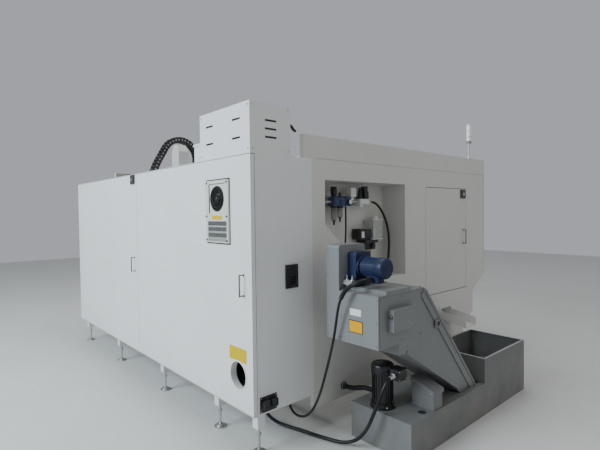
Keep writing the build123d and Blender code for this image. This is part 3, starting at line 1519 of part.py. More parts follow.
air_hose_diameter = 20
air_hose_points = [
    (back - 80, 1366, 1684),
    (back - 80, 1418, 1684),
    (back - 84, 1482, 1658),
    (back - 92, 1542, 1590),
    (back - 100, 1588, 1500),
    (back - 104, 1610, 1400),
    (back - 106, 1614, 1300),
    (back - 104, 1606, 1205),
    (back - 104, 1600, 1120),
    (back - 104, 1600, 1043),
]
hose("air_hose", air_hose_points, air_hose_diameter)

drain_hose_diameter = 14
drain_hose_points = [
    (back - 84, 1065, 1640),
    (back - 84, 1065, 1560),
    (back - 86, 1063, 1460),
    (back - 86, 1056, 1360),
    (back - 84, 1050, 1270),
    (back - 84, 1050, niche_gland[2]),
]
hose("drain_hose", drain_hose_points, drain_hose_diameter)
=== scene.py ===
"""Looks, light and camera for the machining center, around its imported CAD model."""

import math

import bmesh
import bpy
from mathutils import Matrix, Vector


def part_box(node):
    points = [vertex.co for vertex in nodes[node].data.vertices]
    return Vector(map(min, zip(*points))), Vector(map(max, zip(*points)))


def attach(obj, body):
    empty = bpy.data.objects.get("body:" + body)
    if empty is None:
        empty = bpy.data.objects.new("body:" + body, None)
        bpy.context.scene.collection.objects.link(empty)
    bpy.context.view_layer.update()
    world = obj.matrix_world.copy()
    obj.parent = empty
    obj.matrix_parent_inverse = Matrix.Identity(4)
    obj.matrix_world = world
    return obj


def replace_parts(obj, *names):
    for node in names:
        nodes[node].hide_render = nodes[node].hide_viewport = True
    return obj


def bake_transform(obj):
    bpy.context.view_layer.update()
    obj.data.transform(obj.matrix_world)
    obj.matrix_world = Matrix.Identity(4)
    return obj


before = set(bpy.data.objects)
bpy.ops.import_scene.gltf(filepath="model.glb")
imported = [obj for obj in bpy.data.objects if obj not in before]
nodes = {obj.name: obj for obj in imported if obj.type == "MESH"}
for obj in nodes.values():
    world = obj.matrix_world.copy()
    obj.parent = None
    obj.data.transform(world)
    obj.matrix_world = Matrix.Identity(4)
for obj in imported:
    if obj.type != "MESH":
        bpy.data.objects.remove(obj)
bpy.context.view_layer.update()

# The rear left corner, which all places are measured from: u to the right, v to the front, z up
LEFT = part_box("rear_door_right")[0][0]
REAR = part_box("rear_door_right")[1][1]


def at(u, v, z):
    """A point u inwards from the left wall, v forwards from the back and z above the floor."""
    return Vector((LEFT + u, REAR - v, z))


# Camera, at the photograph's viewing angle
SENSOR = 36.0
IMAGE_WIDTH = 600
FOCAL_PIXELS = 439.5
CAMERA_PLACE = at(-2.281, -1.617, 1.600)
YAW, PITCH, ROLL = (math.radians(angle) for angle in (-41.70, -1.66, -0.66))


def add_camera():
    """The camera, turned by yaw, pitch and roll."""
    forward = Vector((math.cos(YAW) * math.cos(PITCH), math.sin(YAW) * math.cos(PITCH), math.sin(PITCH)))
    right = forward.cross(Vector((0, 0, 1))).normalized()
    up = right.cross(forward)
    rolled_right = right * math.cos(ROLL) + up * math.sin(ROLL)
    rolled_up = up * math.cos(ROLL) - right * math.sin(ROLL)
    data = bpy.data.cameras.new("camera")
    data.sensor_width = SENSOR
    data.lens = FOCAL_PIXELS / IMAGE_WIDTH * SENSOR
    data.clip_end = 100
    camera = bpy.data.objects.new("camera", data)
    turn = Matrix((rolled_right, rolled_up, -forward)).transposed().to_4x4()
    camera.matrix_world = Matrix.Translation(CAMERA_PLACE) @ turn
    bpy.context.scene.collection.objects.link(camera)
    bpy.context.scene.camera = camera


add_camera()


# Materials
class Graph:
    """A material's nodes, with short calls to add and join them."""

    def __init__(self, name):
        self.material = bpy.data.materials.new(name)
        self.material.use_nodes = True
        self.nodes = self.material.node_tree.nodes
        self.links = self.material.node_tree.links
        self.shader = self.nodes["Principled BSDF"]
        self.place = self.add("ShaderNodeTexCoord").outputs["Object"]

    def add(self, kind, **settings):
        """A new node with its settings."""
        node = self.nodes.new(kind)
        for key, value in settings.items():
            setattr(node, key, value)
        return node

    def join(self, output, target):
        """A link to a node's socket."""
        self.links.new(output, target)

    def feed(self, output, socket):
        """A link to one of the shader's own sockets."""
        self.links.new(output, self.shader.inputs[socket])

    def colour(self):
        """What feeds the shader's colour so far."""
        return self.shader.inputs["Base Color"].links[0].from_socket

    def math(self, operation, *values):
        """One Math node: each value is a number or an output."""
        node = self.add("ShaderNodeMath", operation=operation)
        for socket, value in zip(node.inputs, values):
            if isinstance(value, (int, float)):
                socket.default_value = value
            else:
                self.join(value, socket)
        return node.outputs[0]

    def noise(self, scale, detail=3.0, stretch=(1, 1, 1)):
        """Noise over the place, from 0 to 1."""
        mapping = self.add("ShaderNodeMapping")
        mapping.inputs["Scale"].default_value = stretch
        self.join(self.place, mapping.inputs["Vector"])
        texture = self.add("ShaderNodeTexNoise")
        texture.inputs["Scale"].default_value = scale
        texture.inputs["Detail"].default_value = detail
        self.join(mapping.outputs[0], texture.inputs["Vector"])
        return texture.outputs["Fac"]

    def ramp(self, value, low, high):
        """Spreads a value between two limits over 0 to 1."""
        node = self.add("ShaderNodeMapRange", clamp=True)
        self.join(value, node.inputs["Value"])
        node.inputs["From Min"].default_value = low
        node.inputs["From Max"].default_value = high
        return node.outputs[0]

    def mix(self, factor, first, second):
        """A colour between two colours; each is three numbers or an output."""
        node = self.add("ShaderNodeMix", data_type="RGBA")
        self.join(factor, node.inputs[0])
        for socket, value in ((node.inputs[6], first), (node.inputs[7], second)):
            if isinstance(value, (tuple, list)):
                socket.default_value = (*value, 1)
            else:
                self.join(value, socket)
        return node.outputs[2]

    def part(self, axis):
        """One coordinate of the place, in the row frame."""
        node = self.add("ShaderNodeSeparateXYZ")
        self.join(self.place, node.inputs[0])
        return node.outputs[axis]

    def bump(self, height, strength, distance, edge=0.0):
        """Relief from a height; edge rounds sharp edges by that radius."""
        node = self.add("ShaderNodeBump")
        node.inputs["Strength"].default_value = strength
        node.inputs["Distance"].default_value = distance
        self.join(height, node.inputs["Height"])
        if edge:
            rounding = self.add("ShaderNodeBevel", samples=4)
            rounding.inputs["Radius"].default_value = edge
            self.join(rounding.outputs[0], node.inputs["Normal"])
        self.feed(node.outputs[0], "Normal")

    def set(self, values):
        """Constant values on the shader's own sockets."""
        for key, value in values.items():
            self.shader.inputs[key].default_value = value


FLOOR_DUST = (0.30, 0.27, 0.22)
DUST_HEIGHT = 0.55
PALE_DUST = (0.32, 0.31, 0.29)


def shaded(colour, factor):
    """A colour made darker or lighter."""
    return tuple(min(1.0, channel * factor) for channel in colour)


def coat(name, colour, rough=0.42, peel=900, edge=0.0012, grime=0.10, floor_dust=0.0):
    """Painted sheet: colour that drifts a little, orange peel, and dust towards the floor."""
    g = Graph(name)
    drift = g.ramp(g.noise(1.3, 4), 0.35, 0.65)
    stain = g.ramp(g.noise(9, 6, (1, 1, 0.25)), 0.55, 0.85)
    paint = g.mix(drift, shaded(colour, 0.965), colour)
    paint = g.mix(g.math("MULTIPLY", stain, grime), paint, shaded(colour, 0.62))
    if floor_dust:
        low = g.ramp(g.part(2), DUST_HEIGHT, 0.0)
        dust = g.math("MULTIPLY", g.math("MULTIPLY", low, g.ramp(g.noise(5, 6), 0.3, 0.7)), floor_dust)
        paint = g.mix(dust, paint, FLOOR_DUST)
    g.feed(paint, "Base Color")
    g.feed(g.math("ADD", g.math("MULTIPLY", g.noise(14, 4), 0.16), rough - 0.08), "Roughness")
    g.bump(g.noise(peel, 2), 0.10, 0.0006, edge)
    return g


def metal(name, colour, rough=0.3, stretch=(1, 1, 1), scale=60):
    """Bare or plated metal with fine machining lines and dull patches."""
    g = Graph(name)
    g.set({"Metallic": 1.0})
    patches = g.ramp(g.noise(6, 5), 0.3, 0.75)
    g.feed(g.mix(patches, shaded(colour, 0.80), colour), "Base Color")
    lines = g.noise(scale, 5, stretch)
    g.feed(g.math("ADD", g.math("MULTIPLY", lines, 0.25), rough - 0.10), "Roughness")
    g.bump(lines, 0.12, 0.0004, 0.0006)
    return g


def plastic(name, colour, rough=0.5, grain=700, dust=0.15):
    """Moulded plastic or rubber: fine grain, with pale dust in patches."""
    g = Graph(name)
    patches = g.math("MULTIPLY", g.ramp(g.noise(11, 6), 0.45, 0.8), dust)
    g.feed(g.mix(patches, colour, PALE_DUST), "Base Color")
    g.feed(g.math("ADD", g.math("MULTIPLY", g.noise(24, 4), 0.2), rough - 0.1), "Roughness")
    g.bump(g.noise(grain, 2), 0.18, 0.0004, 0.0006)
    return g


WHITE = (0.735, 0.742, 0.730)
CREAM = (0.640, 0.630, 0.590)
GREY = (0.188, 0.194, 0.194)
BLACK = (0.012, 0.012, 0.013)

cabinet_paint = coat("cabinet_paint", WHITE, 0.36, floor_dust=0.25)
wall_paint = coat("wall_paint", CREAM, 0.38, floor_dust=0.3)
conveyor_paint = coat("conveyor_paint", GREY, 0.45, 600, 0.0016, 0.25, 0.3)
tank_paint = coat("tank_paint", (0.136, 0.142, 0.144), 0.48, 500, 0.002, 0.35, 0.45)
casting_paint = coat("casting_paint", (0.52, 0.53, 0.50), 0.5, 220, 0.003, 0.3)
blue_paint = coat("blue_paint", (0.013, 0.023, 0.066), 0.42, 420, 0.001, 0.3)
cover_blue = coat("cover_blue", (0.011, 0.019, 0.054), 0.38, 420, 0.001, 0.2)
black_paint = coat("black_paint", (0.010, 0.010, 0.011), 0.34, 420, 0.001, 0.3)
ground_steel = metal("ground_steel", (0.58, 0.59, 0.60), 0.32, (1, 20, 1), 80)
polished_steel = metal("polished_steel", (0.74, 0.74, 0.75), 0.16, (6, 6, 1), 40)
zinc = metal("zinc", (0.60, 0.61, 0.60), 0.42, (1, 1, 1), 120)
brass = metal("brass", (0.52, 0.45, 0.30), 0.30, (1, 1, 6), 60)
black_plastic = plastic("black_plastic", BLACK, 0.42)
white_plastic = plastic("white_plastic", (0.72, 0.72, 0.70), 0.4, dust=0.05)
red_plastic = plastic("red_plastic", (0.55, 0.02, 0.015), 0.28, dust=0.04)
yellow_film = plastic("yellow_film", (0.60, 0.44, 0.001), 0.5, 60, 0.01)
orange_film = plastic("orange_film", (0.72, 0.36, 0.003), 0.5, 60, 0.02)
rubber = plastic("rubber", (0.006, 0.006, 0.0065), 0.34, 260, 0.05)
# Light grey for the chain's pin bosses is a painted highlight on black chain links.
pin_highlight_paint = plastic("pin_highlight_paint", (0.30, 0.30, 0.29), 0.3)
air_blue = plastic("air_blue", (0.023, 0.048, 0.120), 0.35)
screen_glass = plastic("screen_glass", (0.008, 0.010, 0.014), 0.08, 40, 0.02)
bowl = plastic("bowl", (0.50, 0.52, 0.50), 0.12, dust=0.05)
reservoir = plastic("reservoir", (0.74, 0.76, 0.72), 0.22, dust=0.05)
glass = plastic("glass", (0.55, 0.62, 0.60), 0.06, 30, 0.02)

blue_paint.set({"Specular IOR Level": 0.3})
cover_blue.set({"Specular IOR Level": 0.3})
yellow_film.set({"Specular IOR Level": 0.15})
orange_film.set({"Specular IOR Level": 0.15})
rubber.set({"Specular IOR Level": 0.35})
bowl.set({"Transmission Weight": 0.75, "IOR": 1.45})
reservoir.set({"Transmission Weight": 0.25, "IOR": 1.4, "Alpha": 0.20})
glass.set({"Transmission Weight": 0.9, "IOR": 1.5})

# Tower light: pole, collar, lenses and cap are one node, with colours in bands of height
LAMP_BANDS = (
    (2.100, 2.330, (0.42, 0.43, 0.43)),
    (2.330, 2.360, (0.16, 0.16, 0.16)),
    (2.360, 2.531, (0.80, 0.80, 0.78)),
    (2.531, 2.600, (0.62, 0.62, 0.60)),
)
lamp = plastic("lamp", (0.80, 0.80, 0.78), 0.25, dust=0.03)
lamp_height = lamp.part(2)
for band_low, band_high, band_colour in LAMP_BANDS:
    inside = lamp.math(
        "MULTIPLY", lamp.math("GREATER_THAN", lamp_height, band_low), lamp.math("LESS_THAN", lamp_height, band_high)
    )
    lamp.feed(lamp.mix(inside, lamp.colour(), band_colour), "Base Color")

# Handles and latches: a chrome handle and, above it on the same node, a black latch case
LATCH_CASE_LOW = 1.68
fittings = metal("fittings", (0.20, 0.205, 0.215), 0.14, (6, 6, 1), 40)
case = fittings.math("GREATER_THAN", fittings.part(2), LATCH_CASE_LOW)
fittings.feed(fittings.mix(case, fittings.colour(), (0.03, 0.03, 0.032)), "Base Color")
fittings.feed(fittings.math("SUBTRACT", 1.0, case), "Metallic")

# Front door: its plated bar handle stands out from the painted panel
DOOR_FACE = at(0, 3.1845, 0).y
door_paint = coat("door_paint", CREAM, 0.38, floor_dust=0.3)
bar = door_paint.math("LESS_THAN", door_paint.part(1), DOOR_FACE)
door_paint.feed(door_paint.mix(bar, door_paint.colour(), (0.46, 0.47, 0.48)), "Base Color")
door_paint.feed(bar, "Metallic")

# Heat exchanger: the fan guard is black, on a pale panel
FAN_U, FAN_Z = 0.378, 1.700
FAN_RADIUS = 0.0895
exchanger_paint = coat("exchanger_paint", (0.60, 0.60, 0.55), 0.4, grime=0.2)
fan = at(FAN_U, 0, FAN_Z)
squares = []
for axis in (0, 2):
    offset = exchanger_paint.math("SUBTRACT", exchanger_paint.part(axis), fan[axis])
    squares.append(exchanger_paint.math("MULTIPLY", offset, offset))
from_fan = exchanger_paint.math("SQRT", exchanger_paint.math("ADD", *squares))
near_fan = exchanger_paint.math("LESS_THAN", from_fan, FAN_RADIUS)
exchanger_paint.feed(exchanger_paint.mix(near_fan, exchanger_paint.colour(), BLACK), "Base Color")

NODE_MATERIALS = {
    cabinet_paint: ("cabinet_shell", "rear_door_right", "rear_door_left", "vent_box"),
    exchanger_paint: ("heat_exchanger",),
    wall_paint: (
        "left_wall", "right_wall", "service_door", "roof_panel", "front_panel", "front_apron", "operator_console",
        "chip_chute",
    ),
    door_paint: ("front_door",),
    conveyor_paint: ("conveyor_housing", "conveyor_lid", "chain_guard"),
    tank_paint: ("coolant_tank",),
    casting_paint: ("bed", "column", "saddle", "spindle_head", "column_brackets"),
    blue_paint: ("gear_motor",),
    black_paint: ("coolant_pump", "axis_motors", "spindle_motor"),
    ground_steel: (
        "guide_rails", "table", "y_screw", "x_screw", "z_screw", "spindle", "tool_drum", "conveyor_shaft",
        "motor_sprocket", "conveyor_belt", "hinge_pins",
    ),
    fittings: ("rear_handle_right", "rear_handle_left", "service_fittings"),
    polished_steel: ("rear_latch_insert", "service_latch_insert"),
    zinc: ("mounting_plate", "foot_screws"),
    black_plastic: ("exchanger_fan", "socket_plate", "feed_dial", "air_unit", "lube_pump", "drag_chain"),
    red_plastic: ("stop_button",),
    reservoir: ("lube_reservoir",),
    glass: ("door_window",),
    lamp: ("tower_light",),
    rubber: ("pump_hose", "motor_cable", "coolant_pipe", "air_hose", "drain_hose"),
}
for finish, names in NODE_MATERIALS.items():
    for name in names:
        node = nodes[name]
        if not node.material_slots:
            node.data.materials.append(None)
        for holder in node.material_slots:
            holder.material = finish.material


# Mesh helpers. Pieces ride on the machine's fixed body unless another is named
def piece(name, bm, finish, body="machine", bevel=0.0, smooth=False):
    """Turns a bmesh into an object that rides on a body, where one is given."""
    mesh = bpy.data.meshes.new(name)
    bmesh.ops.recalc_face_normals(bm, faces=bm.faces)
    if smooth:
        for face in bm.faces:
            face.smooth = True
    bm.to_mesh(mesh)
    bm.free()
    mesh.materials.append(finish.material)
    obj = bpy.data.objects.new(name, mesh)
    bpy.context.scene.collection.objects.link(obj)
    if bevel:
        rounding = obj.modifiers.new("rounding", "BEVEL")
        rounding.width = bevel
        rounding.segments = 2
        rounding.limit_method = "ANGLE"
    if smooth:
        mesh.set_sharp_from_angle(angle=math.radians(40))
    if body:
        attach(obj, body)
    return obj


def block(bm, u, v, z):
    """A straight-sided body between two measures each way."""
    corners = [bm.verts.new(at(a, b, c)) for c in z for b in v for a in u]
    for ring in ((0, 1, 3, 2), (4, 5, 7, 6), (0, 1, 5, 4), (2, 3, 7, 6), (0, 2, 6, 4), (1, 3, 7, 5)):
        bm.faces.new([corners[index] for index in ring])


def prism(bm, outline, u):
    """An outline of (v, z) points carried from one u to another."""
    rows = [[bm.verts.new(at(a, v, z)) for v, z in outline] for a in u]
    bm.faces.new(rows[0])
    bm.faces.new(rows[1][::-1])
    for index in range(len(outline)):
        after = (index + 1) % len(outline)
        bm.faces.new((rows[0][index], rows[0][after], rows[1][after], rows[1][index]))


def skin(bm, rings, closed=False):
    """Faces from each ring of vertices to the next; the last goes to the first, or both ends are capped."""
    for lower, upper in zip(rings, rings[1:] + rings[:1] if closed else rings[1:]):
        for index in range(len(lower)):
            after = (index + 1) % len(lower)
            bm.faces.new((lower[index], lower[after], upper[after], upper[index]))
    if not closed:
        bm.faces.new(rings[0][::-1])
        bm.faces.new(rings[-1])


def circle(sides):
    """The cosine and sine of each corner of a regular figure."""
    for index in range(sides):
        angle = 2 * math.pi * index / sides
        yield math.cos(angle), math.sin(angle)


def turned(bm, place, axis, profile, sides=24):
    """A turned body: (radius, height) pairs up an axis from a place."""
    turn = Vector(axis).normalized().to_track_quat("Z", "Y").to_matrix()
    skin(bm, [
        [bm.verts.new(place + turn @ Vector((radius * x, radius * y, height))) for x, y in circle(sides)]
        for radius, height in profile
    ])


def ring_wire(bm, place, axis, radius, wire, around):
    """A round wire, with so many corners around it, bent to a ring."""
    turn = Vector(axis).normalized().to_track_quat("Z", "Y").to_matrix()
    rows = []
    for x, y in circle(40):
        row = []
        for out, up in circle(around):
            reach = radius + wire * out
            row.append(bm.verts.new(place + turn @ Vector((reach * x, reach * y, wire * up))))
        rows.append(row)
    skin(bm, rows, closed=True)


def plates(name, finish, blocks, body="machine", bevel=0.001):
    """One mesh of bevelled blocks, each between two measures each way."""
    bm = bmesh.new()
    for u, v, z in blocks:
        block(bm, u, v, z)
    return piece(name, bm, finish, body, bevel)


def turnings(name, finish, parts, body="machine", sides=28):
    """One mesh of turned bodies: (place, axis, profile) each."""
    bm = bmesh.new()
    for place, axis, profile in parts:
        turned(bm, place, axis, profile, sides)
    return piece(name, bm, finish, body, smooth=True)


def screws(name, places, axis, radius, finish=zinc, body="machine"):
    """Button heads with a socket, one mesh for a group."""
    high = radius * 0.62
    head = (
        (radius, 0), (radius, high * 0.45), (radius * 0.8, high), (radius * 0.42, high), (radius * 0.36, high * 0.35),
    )
    return turnings(name, finish, [(place, axis, head) for place in places], body, 16)


OUT_BACK, OUT_LEFT, OUT_TOP, OUT_FRONT = Vector((0, 1, 0)), Vector((-1, 0, 0)), Vector((0, 0, 1)), Vector((0, -1, 0))

# Hoses and cables: diameter, stiffness, lay and the points of the route in the CAD source
NICHE_BACK = 0.247
GLAND_END = 0.283 - 0.022
PUMP_GLAND = (0.398, 0.350)
CABLE_GLAND = (0.152, 0.425)
ROUTES = {
    "pump_hose": (0.024, "medium", "loose", [
        (-0.518, 0.776, 0.497), (-0.518, 0.724, 0.497), (-0.510, 0.680, 0.440), (-0.486, 0.648, 0.345),
        (-0.455, 0.628, 0.240), (-0.414, 0.612, 0.142), (-0.352, 0.590, 0.063), (-0.262, 0.560, 0.022),
        (-0.160, 0.532, 0.016), (-0.050, 0.505, 0.015), (0.060, 0.478, 0.015), (0.170, 0.445, 0.016),
        (0.272, 0.404, 0.028), (0.350, 0.368, 0.076), (*PUMP_GLAND, 0.160), (*PUMP_GLAND, GLAND_END),
    ]),
    "motor_cable": (0.017, "medium", "loose", [
        (-0.504, 0.560, 1.166), (-0.504, 0.502, 1.166), (-0.494, 0.444, 1.162), (-0.462, 0.400, 1.136),
        (-0.424, 0.386, 1.088), (-0.393, 0.387, 1.028), (-0.368, 0.396, 0.962), (-0.346, 0.404, 0.880),
        (-0.322, 0.410, 0.790), (-0.292, 0.415, 0.700), (-0.258, 0.419, 0.600), (-0.222, 0.422, 0.500),
        (-0.184, 0.424, 0.400), (-0.142, 0.425, 0.308), (-0.090, 0.425, 0.226), (-0.026, 0.425, 0.168),
        (0.046, 0.425, 0.144), (0.112, 0.425, 0.154), (*CABLE_GLAND, 0.200), (*CABLE_GLAND, GLAND_END),
    ]),
    "coolant_pipe": (0.036, "stiff", "taut", [
        (-0.290, 0.852, 0.312), (-0.222, 0.852, 0.312), (-0.152, 0.848, 0.293), (-0.082, 0.840, 0.270),
        (-0.016, 0.840, 0.270),
    ]),
    "air_hose": (0.020, "medium", "loose", [
        (NICHE_BACK - 0.080, 1.366, 1.684), (NICHE_BACK - 0.080, 1.418, 1.684), (NICHE_BACK - 0.084, 1.482, 1.658),
        (NICHE_BACK - 0.092, 1.542, 1.590), (NICHE_BACK - 0.100, 1.588, 1.500), (NICHE_BACK - 0.104, 1.610, 1.400),
        (NICHE_BACK - 0.106, 1.614, 1.300), (NICHE_BACK - 0.104, 1.606, 1.205), (NICHE_BACK - 0.104, 1.600, 1.120),
        (NICHE_BACK - 0.104, 1.600, 1.043),
    ]),
    "drain_hose": (0.014, "medium", "taut", [
        (NICHE_BACK - 0.084, 1.065, 1.640), (NICHE_BACK - 0.084, 1.065, 1.560), (NICHE_BACK - 0.086, 1.063, 1.460),
        (NICHE_BACK - 0.086, 1.056, 1.360), (NICHE_BACK - 0.084, 1.050, 1.270), (NICHE_BACK - 0.084, 1.050, 1.186),
    ]),
}


def add_hose(name, diameter, points):
    """A round hose on a smooth curve through its route's control points, its centre line and its length."""
    curve = bpy.data.curves.new(name + "_line", "CURVE")
    curve.dimensions = "3D"
    curve.resolution_u = 12
    spline = curve.splines.new("NURBS")
    spline.points.add(len(points) - 1)
    for point, place in zip(spline.points, points):
        point.co = (*at(*place), 1)
    spline.order_u = 3
    spline.use_endpoint_u = True
    obj = bpy.data.objects.new(name + "_line", curve)
    bpy.context.scene.collection.objects.link(obj)
    bare = bpy.data.meshes.new_from_object(obj)
    line = [vertex.co.copy() for vertex in bare.vertices]
    bpy.data.meshes.remove(bare)
    curve.bevel_depth = diameter / 2
    curve.bevel_resolution = 5
    curve.use_fill_caps = True
    curve.materials.append(rubber.material)
    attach(obj, "machine")
    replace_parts(obj, name)
    return obj, line, spline.calc_length()


SLEEVE_STEP = 0.003
SLEEVE_SIDES = 14
RIB_HEIGHT = 0.0016


def sleeve(name, line, start, end, radii, finish=black_plastic, ribbed=False):
    """A sleeve that follows a line between two lengths, from one radius to another; ribs make it a conduit."""
    spots = []
    done = 0.0
    for before, after in zip(line, line[1:]):
        length = (after - before).length
        steps = max(1, round(length / SLEEVE_STEP))
        for step in range(steps):
            share = (done + length * step / steps - start) / (end - start)
            if 0 <= share <= 1:
                spots.append((before.lerp(after, step / steps), (after - before).normalized(), share))
        done += length
    bm = bmesh.new()
    rings = []
    side = Vector((1, 0, 0))
    for index, (spot, way, share) in enumerate(spots):
        side = (side - way * side.dot(way)).normalized()
        other = way.cross(side)
        wide = radii[0] + (radii[1] - radii[0]) * share + (RIB_HEIGHT if ribbed and index % 2 else 0)
        rings.append([bm.verts.new(spot + side * wide * x + other * wide * y) for x, y in circle(SLEEVE_SIDES)])
    skin(bm, rings)
    return piece(name, bm, finish, smooth=not ribbed)


hoses = {name: add_hose(name, diameter, points) for name, (diameter, _, _, points) in ROUTES.items()}
lines = {name: line for name, (_, line, _) in hoses.items()}
hose_pieces = {
    "motor_cable": [
        sleeve("cable_conduit", lines["motor_cable"], 0.012, 0.27, (0.0125, 0.0125), rubber, ribbed=True),
        sleeve("cable_gland_boot", lines["motor_cable"], 0.0, 0.05, (0.0165, 0.0135)),
    ],
    "pump_hose": [sleeve("pump_hose_ferrule", lines["pump_hose"], 0.0, 0.045, (0.0155, 0.0145), zinc)],
    "air_hose": [sleeve("air_hose_ferrule", lines["air_hose"], 0.0, 0.03, (0.0128, 0.0118), brass)],
}

# Heat exchanger: gasket round its rim, guard rings, screws and the frame line by the fan
EXCHANGER_FACE = -0.016
plates("exchanger_gasket", rubber, [
    ((0.236, 0.2395), (-0.002, 0.0), (1.386, 1.837)), ((0.5345, 0.543), (-0.006, 0.0), (1.386, 1.837)),
    ((0.2395, 0.5345), (-0.006, 0.0), (1.386, 1.3945)), ((0.2395, 0.5345), (-0.006, 0.0), (1.8285, 1.837)),
], "right_door", 0.0008)
screws("exchanger_screws", [at(u, EXCHANGER_FACE, z) for u in (0.256, 0.518) for z in (1.412, 1.578, 1.812)],
       OUT_BACK, 0.0075, black_plastic, "right_door")
plates("exchanger_frame", black_plastic, [
    ((0.476, 0.486), (-0.0185, EXCHANGER_FACE), (1.600, 1.800)),
    ((0.272, 0.486), (-0.0180, EXCHANGER_FACE), (1.801, 1.8055)),
], "right_door", 0.0006)
guard = bmesh.new()
for radius in (0.0835, 0.070, 0.0555, 0.042, 0.0285, 0.015):
    ring_wire(guard, at(FAN_U, -0.0195, FAN_Z), OUT_BACK, radius, 0.0016, 6)
piece("fan_guard_rings", guard, black_paint, "right_door", smooth=True)
turnings("fan_guard_boss", black_plastic, [
    (at(FAN_U, -0.019, FAN_Z), OUT_BACK, ((0.013, 0), (0.013, 0.002), (0.010, 0.0045), (0.004, 0.005))),
], "right_door")

# Its three grilles: a dark back behind upright bars, painted shade of the openings, with a rail above and below
GRILLE_BARS = 35
BAR_PITCH, BAR_WIDTH = 0.0070, 0.0015
GRILLE_BACK, GRILLE_BARS_OUT, GRILLE_RAILS_OUT = -0.0155, -0.0176, -0.0180
grille = bmesh.new()
grille_shade = bmesh.new()
for low, high in ((1.514, 1.544), (1.475, 1.504), (1.432, 1.463)):
    block(grille_shade, (0.259, 0.503), (-0.0163, GRILLE_BACK), (low, high))
    for index in range(GRILLE_BARS):
        bar_u = 0.2605 + index * BAR_PITCH
        block(grille, (bar_u, bar_u + BAR_WIDTH), (GRILLE_BARS_OUT, -0.0163), (low, high))
    for edge in (low - 0.0012, high - 0.0004):
        block(grille, (0.257, 0.505), (GRILLE_RAILS_OUT, GRILLE_BACK), (edge, edge + 0.0016))
piece("exchanger_grille_painted_shade", grille_shade, rubber, "right_door")
piece("exchanger_grille", grille, casting_paint, "right_door", 0.0003)
plates("exchanger_foot_strip", zinc, [((0.262, 0.500), (-0.0168, GRILLE_BACK), (1.404, 1.422))], "right_door", 0.0003)
plates("exchanger_strip", yellow_film, [((0.318, 0.452), (-0.0168, EXCHANGER_FACE), (1.556, 1.582))],
       "right_door", 0.0003)

# Right leaf: bare yellow plate, and the lining of the sight hole as (radius, distance out) pairs
plates("door_plate", yellow_film, [((0.070, 0.274), (-0.0008, 0.0), (0.612, 0.704))], "right_door", 0.0003)
LINING = (
    (0.0915, 0.0025), (0.1015, 0.0030), (0.1030, 0.0), (0.0945, -0.001), (0.0945, -0.045), (0.0905, -0.045),
    (0.0905, 0.0015),
)
sight_hole = at(0.172, 0, 0.516)
lining = bmesh.new()
skin(lining, [
    [lining.verts.new(sight_hole + Vector((radius * x, out, radius * y))) for x, y in circle(56)]
    for radius, out in LINING
], closed=True)
piece("sight_hole_lining", lining, cabinet_paint, "right_door", smooth=True)

# Left side of the cabinet: the black catch, socket details, folded edge, feet and glands
plates("side_catch", black_plastic, [
    ((-0.014, 0.0), (0.276, 0.383), (1.083, 1.244)), ((-0.019, -0.014), (0.286, 0.373), (1.186, 1.236)),
    ((-0.0175, -0.014), (0.292, 0.367), (1.094, 1.176)),
], bevel=0.004)
plates("catch_lever", rubber, [((-0.022, -0.0175), (0.302, 0.357), (1.104, 1.166))], bevel=0.003)
SOCKETS = (0.086, 0.152)
SOCKET_FRONT = (-0.034, -0.030)
sockets = []
for middle in SOCKETS:
    for z in ((0.371, 0.379), (0.327, 0.334)):
        sockets.append((SOCKET_FRONT, (middle - 0.026, middle + 0.026), z))
    for v in ((middle - 0.026, middle - 0.019), (middle + 0.019, middle + 0.026)):
        sockets.append((SOCKET_FRONT, v, (0.334, 0.371)))
plates("socket_frames", black_plastic, sockets, bevel=0.0015)
plates("socket_windows", screen_glass, [
    ((-0.031, -0.0295), (middle - 0.019, middle + 0.019), (0.334, 0.371)) for middle in SOCKETS
], bevel=0.0008)
screws("socket_screws", [at(-0.004, v, z) for v in (0.059, 0.181) for z in (0.305, 0.391)], OUT_LEFT, 0.0045)
EDGE_Z = (0.288, 1.977)
plates("cabinet_edge_seal", casting_paint, [
    ((-0.0006, 0.0), (0.0310, 0.0345), EDGE_Z), ((-0.0006, 0.0), (0.0430, 0.0450), EDGE_Z),
], bevel=0.0002)
plates("cabinet_edge_trim", cabinet_paint, [((-0.0045, 0.0), (0.0345, 0.0430), EDGE_Z)], bevel=0.0008)
FEET = (
    (0.070, 0.090), (0.560, 0.090), (1.500, 0.090), (2.600, 0.090), (3.680, 0.090), (3.680, 0.480), (0.720, 0.480),
)
FOOT_REACH = 0.0305
plates("foot_sleeves", cabinet_paint, [
    ((u - FOOT_REACH, u + FOOT_REACH), (v - FOOT_REACH, v + FOOT_REACH), (0.168, 0.2825)) for u, v in FEET
], bevel=0.003)
GLAND_NUT = ((0.74, -0.010), (0.98, -0.004), (1.02, 0.008), (1.2, 0.009), (1.2, 0.0225))
turnings("cabinet_gland_nuts", black_plastic, [
    (at(*gland, 0.2605), OUT_TOP, [(radius * share, height) for share, height in GLAND_NUT])
    for gland, radius in ((PUMP_GLAND, 0.021), (CABLE_GLAND, 0.0165))
], sides=12)
